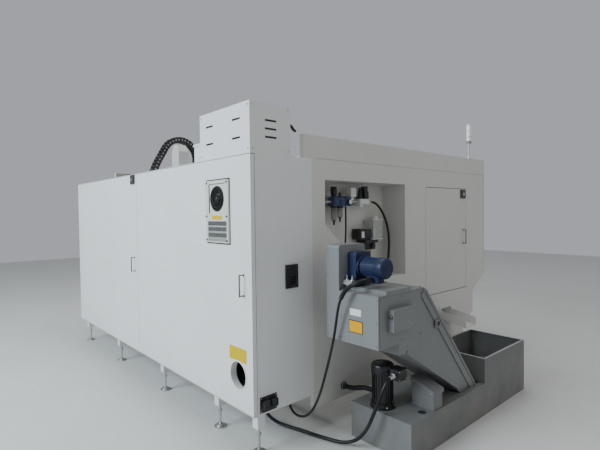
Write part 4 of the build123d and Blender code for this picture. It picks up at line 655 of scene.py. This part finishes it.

# Vent box: black plates over its slots as painted shade of the openings, screws along its edges, and the small cable
# gland on its front
SLOT_SHADE_REACH = 0.0065
slot_shade_plates = [
    ((u - 0.047, u + 0.047), (-0.0005, 0.0), (z - SLOT_SHADE_REACH, z + SLOT_SHADE_REACH))
    for u in (0.154, 0.492) for z in (2.091, 2.214)
]
slot_shade_plates += [((-0.0005, 0.0), (0.121, 0.215), (z - SLOT_SHADE_REACH, z + SLOT_SHADE_REACH)) for z in (2.092, 2.146, 2.200)]
plates("vent_slot_painted_shade", rubber, slot_shade_plates, bevel=0.0002)
screws("vent_box_screws", [at(u, 0.0, z) for u in (0.022, 0.605) for z in (2.010, 2.288)], OUT_BACK, 0.006)
screws("vent_side_screws", [at(0.0, v, z) for v in (0.020, 0.318) for z in (2.010, 2.288)], OUT_LEFT, 0.006)
VENT_GLAND_U = 0.060
turnings("vent_gland_nut", black_plastic, [
    (at(VENT_GLAND_U, 0.377, 2.205), OUT_FRONT, ((0.0125, -0.018), (0.0125, -0.004), (0.0100, 0.000))),
], sides=6)
DROOP = ((0.376, 2.205), (0.390, 2.203), (0.402, 2.196), (0.412, 2.184), (0.424, 2.174), (0.440, 2.170))
sleeve("vent_gland_boot", [at(VENT_GLAND_U, v, z) for v, z in DROOP], 0.0, 0.078, (0.0105, 0.0085), ribbed=True)

# Left wall: pressed seams below the roof and by the front, and the dark gaps over and under the service door
SEAM = (-0.0006, 0.0)
plates("wall_seams", rubber, [
    (SEAM, (0.576, 3.133), (1.9842, 1.9858)), (SEAM, (3.133, 3.1346), (0.893, 1.9842)),
    (SEAM, (1.984, 2.745), (0.7968, 0.8000)), (SEAM, (1.984, 2.745), (1.8220, 1.8240)),
], bevel=0.0002)
screws("niche_screws", [at(0.245, v, z) for v in (1.215, 1.345) for z in (1.660, 1.724)], OUT_LEFT, 0.0045)

# Air unit in the niche: filter bodies, bowls, knob, gauge, valve and fittings
AIR_U = 0.163
AIR_LOW, AIR_HIGH = 1.646, 1.714
PIPE_Z = 1.684
air = bmesh.new()
for middle in (0.925, 0.995, 1.065):
    block(air, (0.1285, 0.197), (middle - 0.0325, middle + 0.0325), (AIR_LOW, AIR_HIGH))
    block(air, (0.1240, 0.1285), (middle - 0.022, middle + 0.022), (1.657, 1.703))
    turned(air, at(AIR_U, middle, AIR_HIGH), OUT_TOP, ((0.0325, 0), (0.0325, 0.006), (0.026, 0.012)))
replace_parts(piece("air_bodies", air, air_blue, bevel=0.003), "air_unit")
plates("air_rail", zinc, [
    ((0.241, 0.247), (0.885, 1.115), (1.640, 1.760)), ((0.197, 0.241), (0.893, 1.105), (1.664, 1.698)),
    ((0.197, 0.247), (1.210, 1.350), (1.652, 1.732)),
], bevel=0.002)
bowls = []
caps = []
for middle, drop in ((0.925, 0.0), (0.995, 0.024)):
    bowls.append((at(AIR_U, middle, AIR_LOW), -OUT_TOP, (
        (0.0255, 0), (0.0255, 0.012), (0.0225, 0.016), (0.0225, 0.098 - drop), (0.019, 0.112 - drop),
        (0.011, 0.121 - drop), (0.007, 0.124 - drop),
    )))
    caps.append((at(AIR_U, middle, AIR_LOW), -OUT_TOP, ((0.0282, 0), (0.0282, 0.013), (0.0262, 0.016))))
    caps.append((at(AIR_U, middle, 1.528 + drop), -OUT_TOP, (
        (0.0145, -0.006), (0.0125, 0.004), (0.0075, 0.010), (0.0075, 0.032), (0.0045, 0.034),
    )))
caps.append((at(AIR_U, 0.925, 1.726), OUT_TOP, (
    (0.021, 0), (0.021, 0.010), (0.026, 0.013), (0.0255, 0.066), (0.021, 0.074),
)))
caps.append((at(0.167, 1.250, 1.707), OUT_TOP, (
    (0.018, 0), (0.018, 0.070), (0.013, 0.076), (0.013, 0.090), (0.010, 0.095),
)))
caps.append((at(AIR_U, 0.995, 1.726), OUT_TOP, ((0.012, 0), (0.012, 0.012), (0.008, 0.016), (0.008, 0.030))))
turnings("air_bowls", bowl, bowls)
turnings("air_caps", black_plastic, caps, sides=24)
plates("air_valve", white_plastic, [
    ((0.137, 0.197), (1.220, 1.340), (1.662, 1.707)), ((0.150, 0.197), (1.228, 1.272), (1.640, 1.662)),
], bevel=0.003)
plates("air_switch", white_plastic, [
    ((0.140, 0.190), (1.106, 1.172), (1.722, 1.800)), ((0.152, 0.182), (1.124, 1.154), (1.694, 1.722)),
], bevel=0.003)
plates("air_valve_coil", black_plastic, [
    ((0.142, 0.192), (1.280, 1.335), (1.707, 1.770)), ((0.147, 0.187), (1.286, 1.329), (1.770, 1.815)),
], bevel=0.003)
turnings("air_pipe", zinc, [
    (at(0.167, 1.097, PIPE_Z), OUT_FRONT, (
        (0.0125, 0), (0.0125, 0.014), (0.0090, 0.015), (0.0090, 0.106), (0.0125, 0.107), (0.0125, 0.123),
    )),
    (at(0.167, 1.340, PIPE_Z), OUT_FRONT, ((0.0155, 0), (0.0155, 0.014), (0.0135, 0.016), (0.0135, 0.026))),
    (at(AIR_U, 1.065, AIR_LOW), -OUT_TOP, ((0.011, 0), (0.011, 0.004), (0.0085, 0.006))),
    (at(AIR_U, 0.893, 1.680), OUT_BACK, ((0.011, 0), (0.011, 0.030), (0.008, 0.032), (0.008, 0.060))),
], sides=20)
turnings("air_gauge", black_plastic, [
    (at(0.124, 1.065, 1.680), OUT_LEFT, ((0.020, 0), (0.0225, 0.004), (0.0225, 0.014), (0.0205, 0.0165))),
], sides=32)
turnings("air_gauge_dial", white_plastic, [
    (at(0.1085, 1.065, 1.680), OUT_LEFT, ((0.0190, 0), (0.0190, 0.0012), (0.0185, 0.0015))),
], sides=32)

# Lubrication pump: pump head with a bare plate, outlets below, filter, and the reservoir's rims and cap
plates("lube_head", black_plastic, [
    ((0.140, 0.234), (1.222, 1.306), (1.360, 1.452)), ((0.150, 0.224), (1.306, 1.374), (1.362, 1.448)),
], bevel=0.004)
plates("lube_plate", white_plastic, [((0.1392, 0.1400), (1.236, 1.272), (1.378, 1.430))], bevel=0.0003)
OUTLET = ((0.009, 0), (0.009, 0.012), (0.006, 0.013), (0.006, 0.024), (0.0075, 0.025), (0.0075, 0.032))
turnings("lube_outlets", brass, [
    (at(0.195, v, 1.272), -OUT_TOP, OUTLET) for v in (1.335, 1.362, 1.389, 1.416)
], sides=6)
turnings("lube_filter", zinc, [
    (at(0.182, 1.442, 1.360), OUT_TOP, ((0.022, 0), (0.022, 0.085), (0.010, 0.088), (0.010, 0.165))),
])
plates("lube_reservoir_rims", white_plastic, [
    ((0.1255, 0.2385), (1.3725, 1.5115), z) for z in ((1.356, 1.362), (1.524, 1.5305))
])
turnings("lube_cap", white_plastic, [
    (at(0.182, 1.460, 1.530), OUT_TOP, (
        (0.031, 0), (0.0315, 0.003), (0.0315, 0.020), (0.028, 0.0255), (0.010, 0.0265),
    )),
])

# Conveyor: side panel, lips along the incline, lug, signs and screws
HOUSING_BACK = 0.450
HOUSING_LEFT = -0.650
conveyor = bmesh.new()
for outline, u in (
    (((0.462, 0.780), (0.462, 1.078), (0.900, 1.078), (0.900, 0.780)), (-0.6525, HOUSING_LEFT)),
    (((0.944, 1.083), (1.660, 0.220), (1.575, 0.220), (0.894, 1.0415)), (-0.659, HOUSING_LEFT)),
    (((0.944, 1.083), (1.660, 0.220), (1.640, 0.220), (0.929, 1.0700)), (-0.665, -0.659)),
    (((0.731, 0.690), (1.367, 0.288), (1.379, 0.307), (0.743, 0.709)), (-0.656, HOUSING_LEFT)),
    (((0.918, 1.0795), (0.930, 1.0880), (0.940, 1.0890), (1.650, 0.234), (1.640, 0.222)), (-0.3325, -0.3265)),
):
    prism(conveyor, outline, u)
piece("conveyor_lips", conveyor, conveyor_paint, bevel=0.0012)
lug = bmesh.new()
turned(lug, at(-0.659, 1.083, 0.825), OUT_LEFT, ((0.027, 0), (0.027, 0.008), (0.023, 0.013), (0.013, 0.013)), 28)
block(lug, (-0.665, -0.659), (1.054, 1.112), (0.796, 0.854))
piece("conveyor_lug", lug, conveyor_paint, bevel=0.0012)
# A dark disc on the lug is painted shade for its hole.
turnings("lug_hole_painted_shade", rubber, [
    (at(-0.6712, 1.083, 0.825), OUT_LEFT, ((0.0170, 0), (0.0170, 0.0014), (0.0160, 0.0017))),
])
plates("conveyor_sign_white", white_plastic, [((-0.516, -0.426), (0.4492, HOUSING_BACK), (0.950, 0.992))], bevel=0.0003)
plates("conveyor_sign_back", black_plastic, [((-0.531, -0.417), (0.4490, HOUSING_BACK), (0.841, 0.920))], bevel=0.0003)
plates("conveyor_sign", orange_film, [((-0.526, -0.422), (0.4482, 0.4490), (0.846, 0.915))], bevel=0.0003)
SIDE_BOX_FACE = -0.6970
SCREW_GROUPS = (
    ("conveyor_screws_back", (-0.637, -0.346), (HOUSING_BACK,), (0.790, 0.930, 1.066), OUT_BACK),
    ("conveyor_screws_side", (-0.6525,), (0.475, 0.682, 0.887), (0.792, 1.066), OUT_LEFT),
    ("lid_screws", (-0.636, -0.361), (0.541, 0.655, 0.769), (1.114,), OUT_TOP),
    ("guard_screws_back", (-0.3235, -0.2325), (HOUSING_BACK,), (0.790, 0.985, 1.180, 1.355), OUT_BACK),
    ("guard_screws_side", (-0.333,), (0.466, 0.694), (1.120, 1.355), OUT_LEFT),
)
for name, us, vs, zs, axis in SCREW_GROUPS:
    screws(name, [at(u, v, z) for u in us for v in vs for z in zs], axis, 0.0048, conveyor_paint)
plates("side_box_cover", conveyor_paint, [((SIDE_BOX_FACE, -0.6502), (0.5405, 0.7715), (0.8655, 1.0015))], bevel=0.0015)
side_box_places = [at(SIDE_BOX_FACE, v, z) for v in (0.552, 0.760) for z in (0.878, 0.989)]
screws("side_box_screws", side_box_places, OUT_LEFT, 0.0045, conveyor_paint)
turnings("side_box_entry", black_plastic, [
    (at(-0.678, 0.543, 0.960), OUT_BACK, (
        (0.0125, 0), (0.0125, 0.006), (0.0100, 0.008), (0.0100, 0.016), (0.006, 0.018),
    )),
], sides=12)

# Gear motor: smooth barrel and domed end, cover, and studs with nuts on a rail
MOTOR_V, MOTOR_Z = 0.610, 1.240
turnings("motor_ends", cover_blue, [
    (at(-0.405, MOTOR_V, MOTOR_Z), OUT_LEFT, ((0.0745, 0), (0.0745, 0.012), (0.0700, 0.0145), (0.0600, 0.0150))),
    (at(-0.541, MOTOR_V, MOTOR_Z), OUT_LEFT, (
        (0.0672, 0), (0.0678, 0.002), (0.0678, 0.040), (0.0665, 0.050), (0.0600, 0.0585), (0.0480, 0.0630),
        (0.0470, 0.0615), (0.0400, 0.0635), (0.0390, 0.0620), (0.0320, 0.0640), (0.0310, 0.0625), (0.0240, 0.0645),
        (0.0100, 0.0650),
    )),
], sides=56)
plates("motor_box_cover", blue_paint, [((-0.552, -0.456), (0.574, 0.646), (1.142, 1.150))], bevel=0.002)
STUD = (
    (0.0052, 0), (0.0052, 0.009), (0.0110, 0.009), (0.0110, 0.019), (0.0135, 0.0195), (0.0135, 0.0205),
    (0.0052, 0.021), (0.0052, 0.044), (0.0135, 0.0445), (0.0135, 0.046), (0.0110, 0.0465), (0.0110, 0.057),
    (0.0062, 0.0575), (0.0062, 0.074), (0.005, 0.075),
)
turnings("motor_studs", polished_steel, [
    (at(u, v, 1.112), OUT_TOP, STUD) for v in (0.508, 0.690) for u in (-0.352, -0.398)
], sides=12)
plates("motor_rail", ground_steel, [
    ((-0.4225, -0.3340), (0.477, 0.711), (1.1315, 1.1403)), ((-0.4145, -0.3345), (0.4825, 0.5340), (1.1403, 1.1575)),
    ((-0.4145, -0.3345), (0.6860, 0.7370), (1.1403, 1.1575)),
])

# Coolant tank: rim of the bin, a hole in the tank's top with a dark disc as painted shade inside, screws of the pump
# box
RIM_Z = (0.4395, 0.4425)
plates("tank_rims", zinc, [
    ((-0.7000, -0.6840), (1.700, 2.450), RIM_Z), ((-0.684, -0.216), (1.700, 1.716), RIM_Z),
    ((-0.684, -0.216), (2.434, 2.450), RIM_Z), ((-0.216, -0.200), (1.700, 2.450), RIM_Z),
], bevel=0.0008)
TANK_HOLE = (-0.645, 0.915)
turnings("tank_hole_ring", tank_paint, [
    (at(*TANK_HOLE, 0.250), OUT_TOP, ((0.033, 0), (0.033, 0.002), (0.029, 0.0025))),
], sides=40)
turnings("tank_hole_painted_shade", rubber, [
    (at(*TANK_HOLE, 0.2502), OUT_TOP, ((0.0275, 0), (0.0275, 0.0026), (0.0265, 0.0028))),
], sides=40)
screws("pump_box_screws", [at(u, 0.977, z) for u, z in ((-0.675, 0.368), (-0.535, 0.418))], OUT_BACK, 0.0055)

# Coolant pump: slotted fan cover, flange bolts, terminal box lid, hose nut and the pipe's collars
PUMP_U, PUMP_V = -0.400, 0.810
PUMP_BOLTS = 6
PUMP_BOLT_RADIUS = 0.078
turnings("pump_cover", black_paint, [
    (at(PUMP_U, PUMP_V, 0.482), OUT_TOP, (
        (0.0760, 0), (0.0785, 0.003), (0.0785, 0.052), (0.0765, 0.062), (0.0700, 0.069), (0.0660, 0.0705),
        (0.0655, 0.068), (0.0585, 0.068), (0.0580, 0.0715), (0.0505, 0.0725), (0.0500, 0.0695), (0.0430, 0.0695),
        (0.0425, 0.0735), (0.0340, 0.0740), (0.0335, 0.0710), (0.0265, 0.0710), (0.0260, 0.0745), (0.0100, 0.0750),
    )),
], sides=56)
bolt_angles = [2 * math.pi * (index + 0.5) / PUMP_BOLTS for index in range(PUMP_BOLTS)]
screws("pump_flange_bolts", [
    at(PUMP_U + PUMP_BOLT_RADIUS * math.cos(angle), PUMP_V + PUMP_BOLT_RADIUS * math.sin(angle), 0.264)
    for angle in bolt_angles
], OUT_TOP, 0.0075)
plates("pump_box_lid", black_paint, [
    ((-0.551, -0.548), (0.787, 0.883), (0.459, 0.535)), ((-0.546, -0.470), (0.787, 0.883), (0.532, 0.5355)),
], bevel=0.0015)
screws("pump_lid_screws", [at(-0.551, v, z) for v in (0.797, 0.873) for z in (0.469, 0.525)], OUT_LEFT, 0.0042)
turnings("pump_hose_nut", zinc, [
    (at(-0.518, 0.7925, 0.497), OUT_BACK, (
        (0.0175, 0), (0.0175, 0.012), (0.0195, 0.0125), (0.0195, 0.026), (0.0165, 0.027), (0.0165, 0.030),
    )),
], sides=6)
turnings("pipe_collars", black_plastic, [
    (at(-0.316, 0.852, 0.300), OUT_TOP, ((0.0205, 0), (0.0205, 0.026), (0.019, 0.034), (0.014, 0.037))),
    (at(-0.306, 0.852, 0.312), -OUT_LEFT, ((0.0205, 0), (0.0205, 0.018), (0.0190, 0.020), (0.0190, 0.024))),
    (at(-0.016, 0.840, 0.270), OUT_LEFT, (
        (0.0310, -0.014), (0.0310, -0.002), (0.0240, 0.002), (0.0215, 0.012), (0.0190, 0.014),
    )),
])

# Drag chain: its line, as (v, z, turn) for each link, sways up from the foot, leans, and arches over to the head
CHAIN_U = (2.930, 3.010)
ARCH_V, ARCH_Z, ARCH_RADIUS = 1.010, 2.310, 0.235
SWAY_RADIUS = 0.840
LEAN = math.pi / 6
LINK_PITCH = 0.044
SWAY_LINKS, LEAN_LINKS, ARCH_LINKS, HEAD_LINKS = 10, 4, 14, 4
LEAN_LENGTH = LEAN_LINKS * LINK_PITCH


def chain_links():
    """The place and the turn of each link, from the foot to the head."""
    lean_v = ARCH_V - ARCH_RADIUS * math.cos(LEAN)
    lean_z = ARCH_Z + ARCH_RADIUS * math.sin(LEAN)
    sway_v = lean_v - LEAN_LENGTH * math.sin(LEAN) - SWAY_RADIUS * (1 - math.cos(LEAN))
    sway_z = lean_z - LEAN_LENGTH * math.cos(LEAN) - SWAY_RADIUS * math.sin(LEAN)
    yield sway_v, sway_z - LINK_PITCH / 2, 0
    for index in range(SWAY_LINKS):
        angle = LEAN * (index + 0.5) / SWAY_LINKS
        yield sway_v + SWAY_RADIUS * (1 - math.cos(angle)), sway_z + SWAY_RADIUS * math.sin(angle), angle
    for index in range(LEAN_LINKS):
        back = LEAN_LENGTH * (1 - (index + 0.5) / LEAN_LINKS)
        yield lean_v - back * math.sin(LEAN), lean_z - back * math.cos(LEAN), LEAN
    for index in range(ARCH_LINKS):
        angle = LEAN + (math.pi - LEAN) * (index + 0.5) / ARCH_LINKS
        yield ARCH_V - ARCH_RADIUS * math.cos(angle), ARCH_Z + ARCH_RADIUS * math.sin(angle), angle
    for index in range(HEAD_LINKS):
        yield ARCH_V + ARCH_RADIUS, ARCH_Z - (index + 0.5) * LINK_PITCH, math.pi


def on_link(link, along, out):
    """The (v, z) of a point of a link, along the chain and out from its line."""
    v, z, turn = link
    return v + math.sin(turn) * along + math.cos(turn) * out, z + math.cos(turn) * along - math.sin(turn) * out


# Side plate and cross bars of a link, as (along, out) pairs
SIDE_PLATE = (
    (-0.0235, -0.020), (-0.017, -0.031), (0.012, -0.033), (0.0235, -0.024),
    (0.0235, 0.034), (0.012, 0.043), (-0.017, 0.041), (-0.0235, 0.030),
)
CROSS_BARS = (-0.0305, 0.0400)
PLATE_THICK = 0.006
PLATE_STEP = 0.003
PIN = ((0.0095, -0.002), (0.0095, 0.002), (0.0075, 0.003), (0.003, 0.003))
chain = bmesh.new()
pins = bmesh.new()
links = list(chain_links())
for index, link in enumerate(links):
    inset = 0.0 if index % 2 else PLATE_STEP
    for low in (CHAIN_U[0] + inset, CHAIN_U[1] - inset - PLATE_THICK):
        prism(chain, [on_link(link, *corner) for corner in SIDE_PLATE], (low, low + PLATE_THICK))
    for out in CROSS_BARS:
        section = ((-0.010, out - 0.0025), (0.010, out - 0.0025), (0.010, out + 0.0025), (-0.010, out + 0.0025))
        span = (CHAIN_U[0] + PLATE_THICK, CHAIN_U[1] - PLATE_THICK)
        prism(chain, [on_link(link, *corner) for corner in section], span)
    if link is not links[-1]:
        for pin_u, axis in zip(CHAIN_U, (OUT_LEFT, -OUT_LEFT)):
            turned(pins, at(pin_u, *on_link(link, 0.022, 0.005)), axis, PIN, 14)
chain_piece = piece("drag_chain_links", chain, black_plastic, None, 0.0008)
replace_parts(chain_piece, "drag_chain")
# The pin bosses' lighter grey is a painted highlight.
pin_piece = piece("drag_chain_painted_highlight_pins", pins, pin_highlight_paint, None, smooth=True)
for soft in (chain_piece, pin_piece):
    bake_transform(soft)

# Front: window gasket, screen, keys and the button's collar
GASKET_V = (3.1515, 3.1845)
plates("window_gasket", rubber, [
    ((1.338, 1.350), GASKET_V, (1.238, 1.862)), ((2.650, 2.662), GASKET_V, (1.238, 1.862)),
    ((1.350, 2.650), GASKET_V, (1.238, 1.250)), ((1.350, 2.650), GASKET_V, (1.850, 1.862)),
], "front_door", 0.002)
BEZEL_V = (3.226, 3.231)
plates("console_bezel", black_plastic, [
    ((3.056, 3.070), BEZEL_V, (1.426, 1.704)), ((3.430, 3.444), BEZEL_V, (1.426, 1.704)),
    ((3.070, 3.430), BEZEL_V, (1.426, 1.440)), ((3.070, 3.430), BEZEL_V, (1.690, 1.704)),
], bevel=0.002)
plates("console_screen", screen_glass, [((3.070, 3.430), (3.2205, 3.2225), (1.440, 1.690))], bevel=0.0006)
plates("console_keypad", black_plastic, [((3.074, 3.437), (3.2300, 3.2315), (1.319, 1.418))], bevel=0.0006)
KEYS_U = [3.082 + column * 0.045 for column in range(8)]
KEYS_Z = [1.327 + row * 0.032 for row in range(3)]
plates("console_keys", white_plastic, [
    ((u + 0.002, u + 0.028), (3.231, 3.2335), (z, z + 0.018)) for z in KEYS_Z for u in KEYS_U
], bevel=0.0012)
collar = bmesh.new()
ring_wire(collar, at(3.520, 3.229, 1.420), OUT_FRONT, 0.026, 0.004, 8)
piece("stop_collar", collar, yellow_film, smooth=True)

# Tower light: thin joints between its lenses and a clamp at its foot
joints = [
    (at(0.100, 3.000, z), OUT_TOP, ((0.0215, 0), (0.0235, 0.002), (0.0235, 0.004), (0.0215, 0.006)))
    for z in (2.401, 2.463)
]
joints.append((at(0.100, 3.000, 2.156), OUT_TOP, ((0.024, 0), (0.024, 0.018), (0.017, 0.024), (0.0125, 0.030))))
turnings("tower_joints", zinc, joints, sides=32)

# Floor and light
FLOOR_REACH = 14
floor_mesh = bpy.data.meshes.new("floor")
floor_mesh.from_pydata(
    [(x * FLOOR_REACH, y * FLOOR_REACH, 0) for x, y in ((-1, -1), (1, -1), (1, 1), (-1, 1))], [], [(0, 1, 2, 3)]
)
floor = bpy.data.objects.new("floor", floor_mesh)
bpy.context.scene.collection.objects.link(floor)
floor_mesh.materials.append(coat("floor_finish", (0.60, 0.60, 0.58), 0.6, 120, 0, 0.1).material)

world = bpy.data.worlds.new("studio")
world.use_nodes = True
sky = world.node_tree.nodes["Background"].inputs
sky["Color"].default_value = (0.86, 0.90, 0.96, 1)
sky["Strength"].default_value = 0.47
bpy.context.scene.world = world


def add_light(name, place, target, size, power, colour):
    """A soft square light that faces a target."""
    data = bpy.data.lights.new(name, "AREA")
    data.size = size
    data.energy = power
    data.color = colour
    light = bpy.data.objects.new(name, data)
    light.location = place
    light.rotation_euler = (Vector(target) - Vector(place)).to_track_quat("-Z", "Y").to_euler()
    bpy.context.scene.collection.objects.link(light)


add_light("key", place=(0.6, 8.5, 5.0), target=(-0.5, 0, 1.0), size=4.2, power=870, colour=(0.80, 0.915, 1.0))
add_light("side", place=(-8.0, -1.0, 4.5), target=(-1, 0, 1.0), size=4.0, power=42, colour=(1.0, 0.93, 0.83))
add_light("top", place=(0, 0, 8.0), target=(0, 0, 0), size=6.0, power=260, colour=(1.0, 0.99, 0.97))
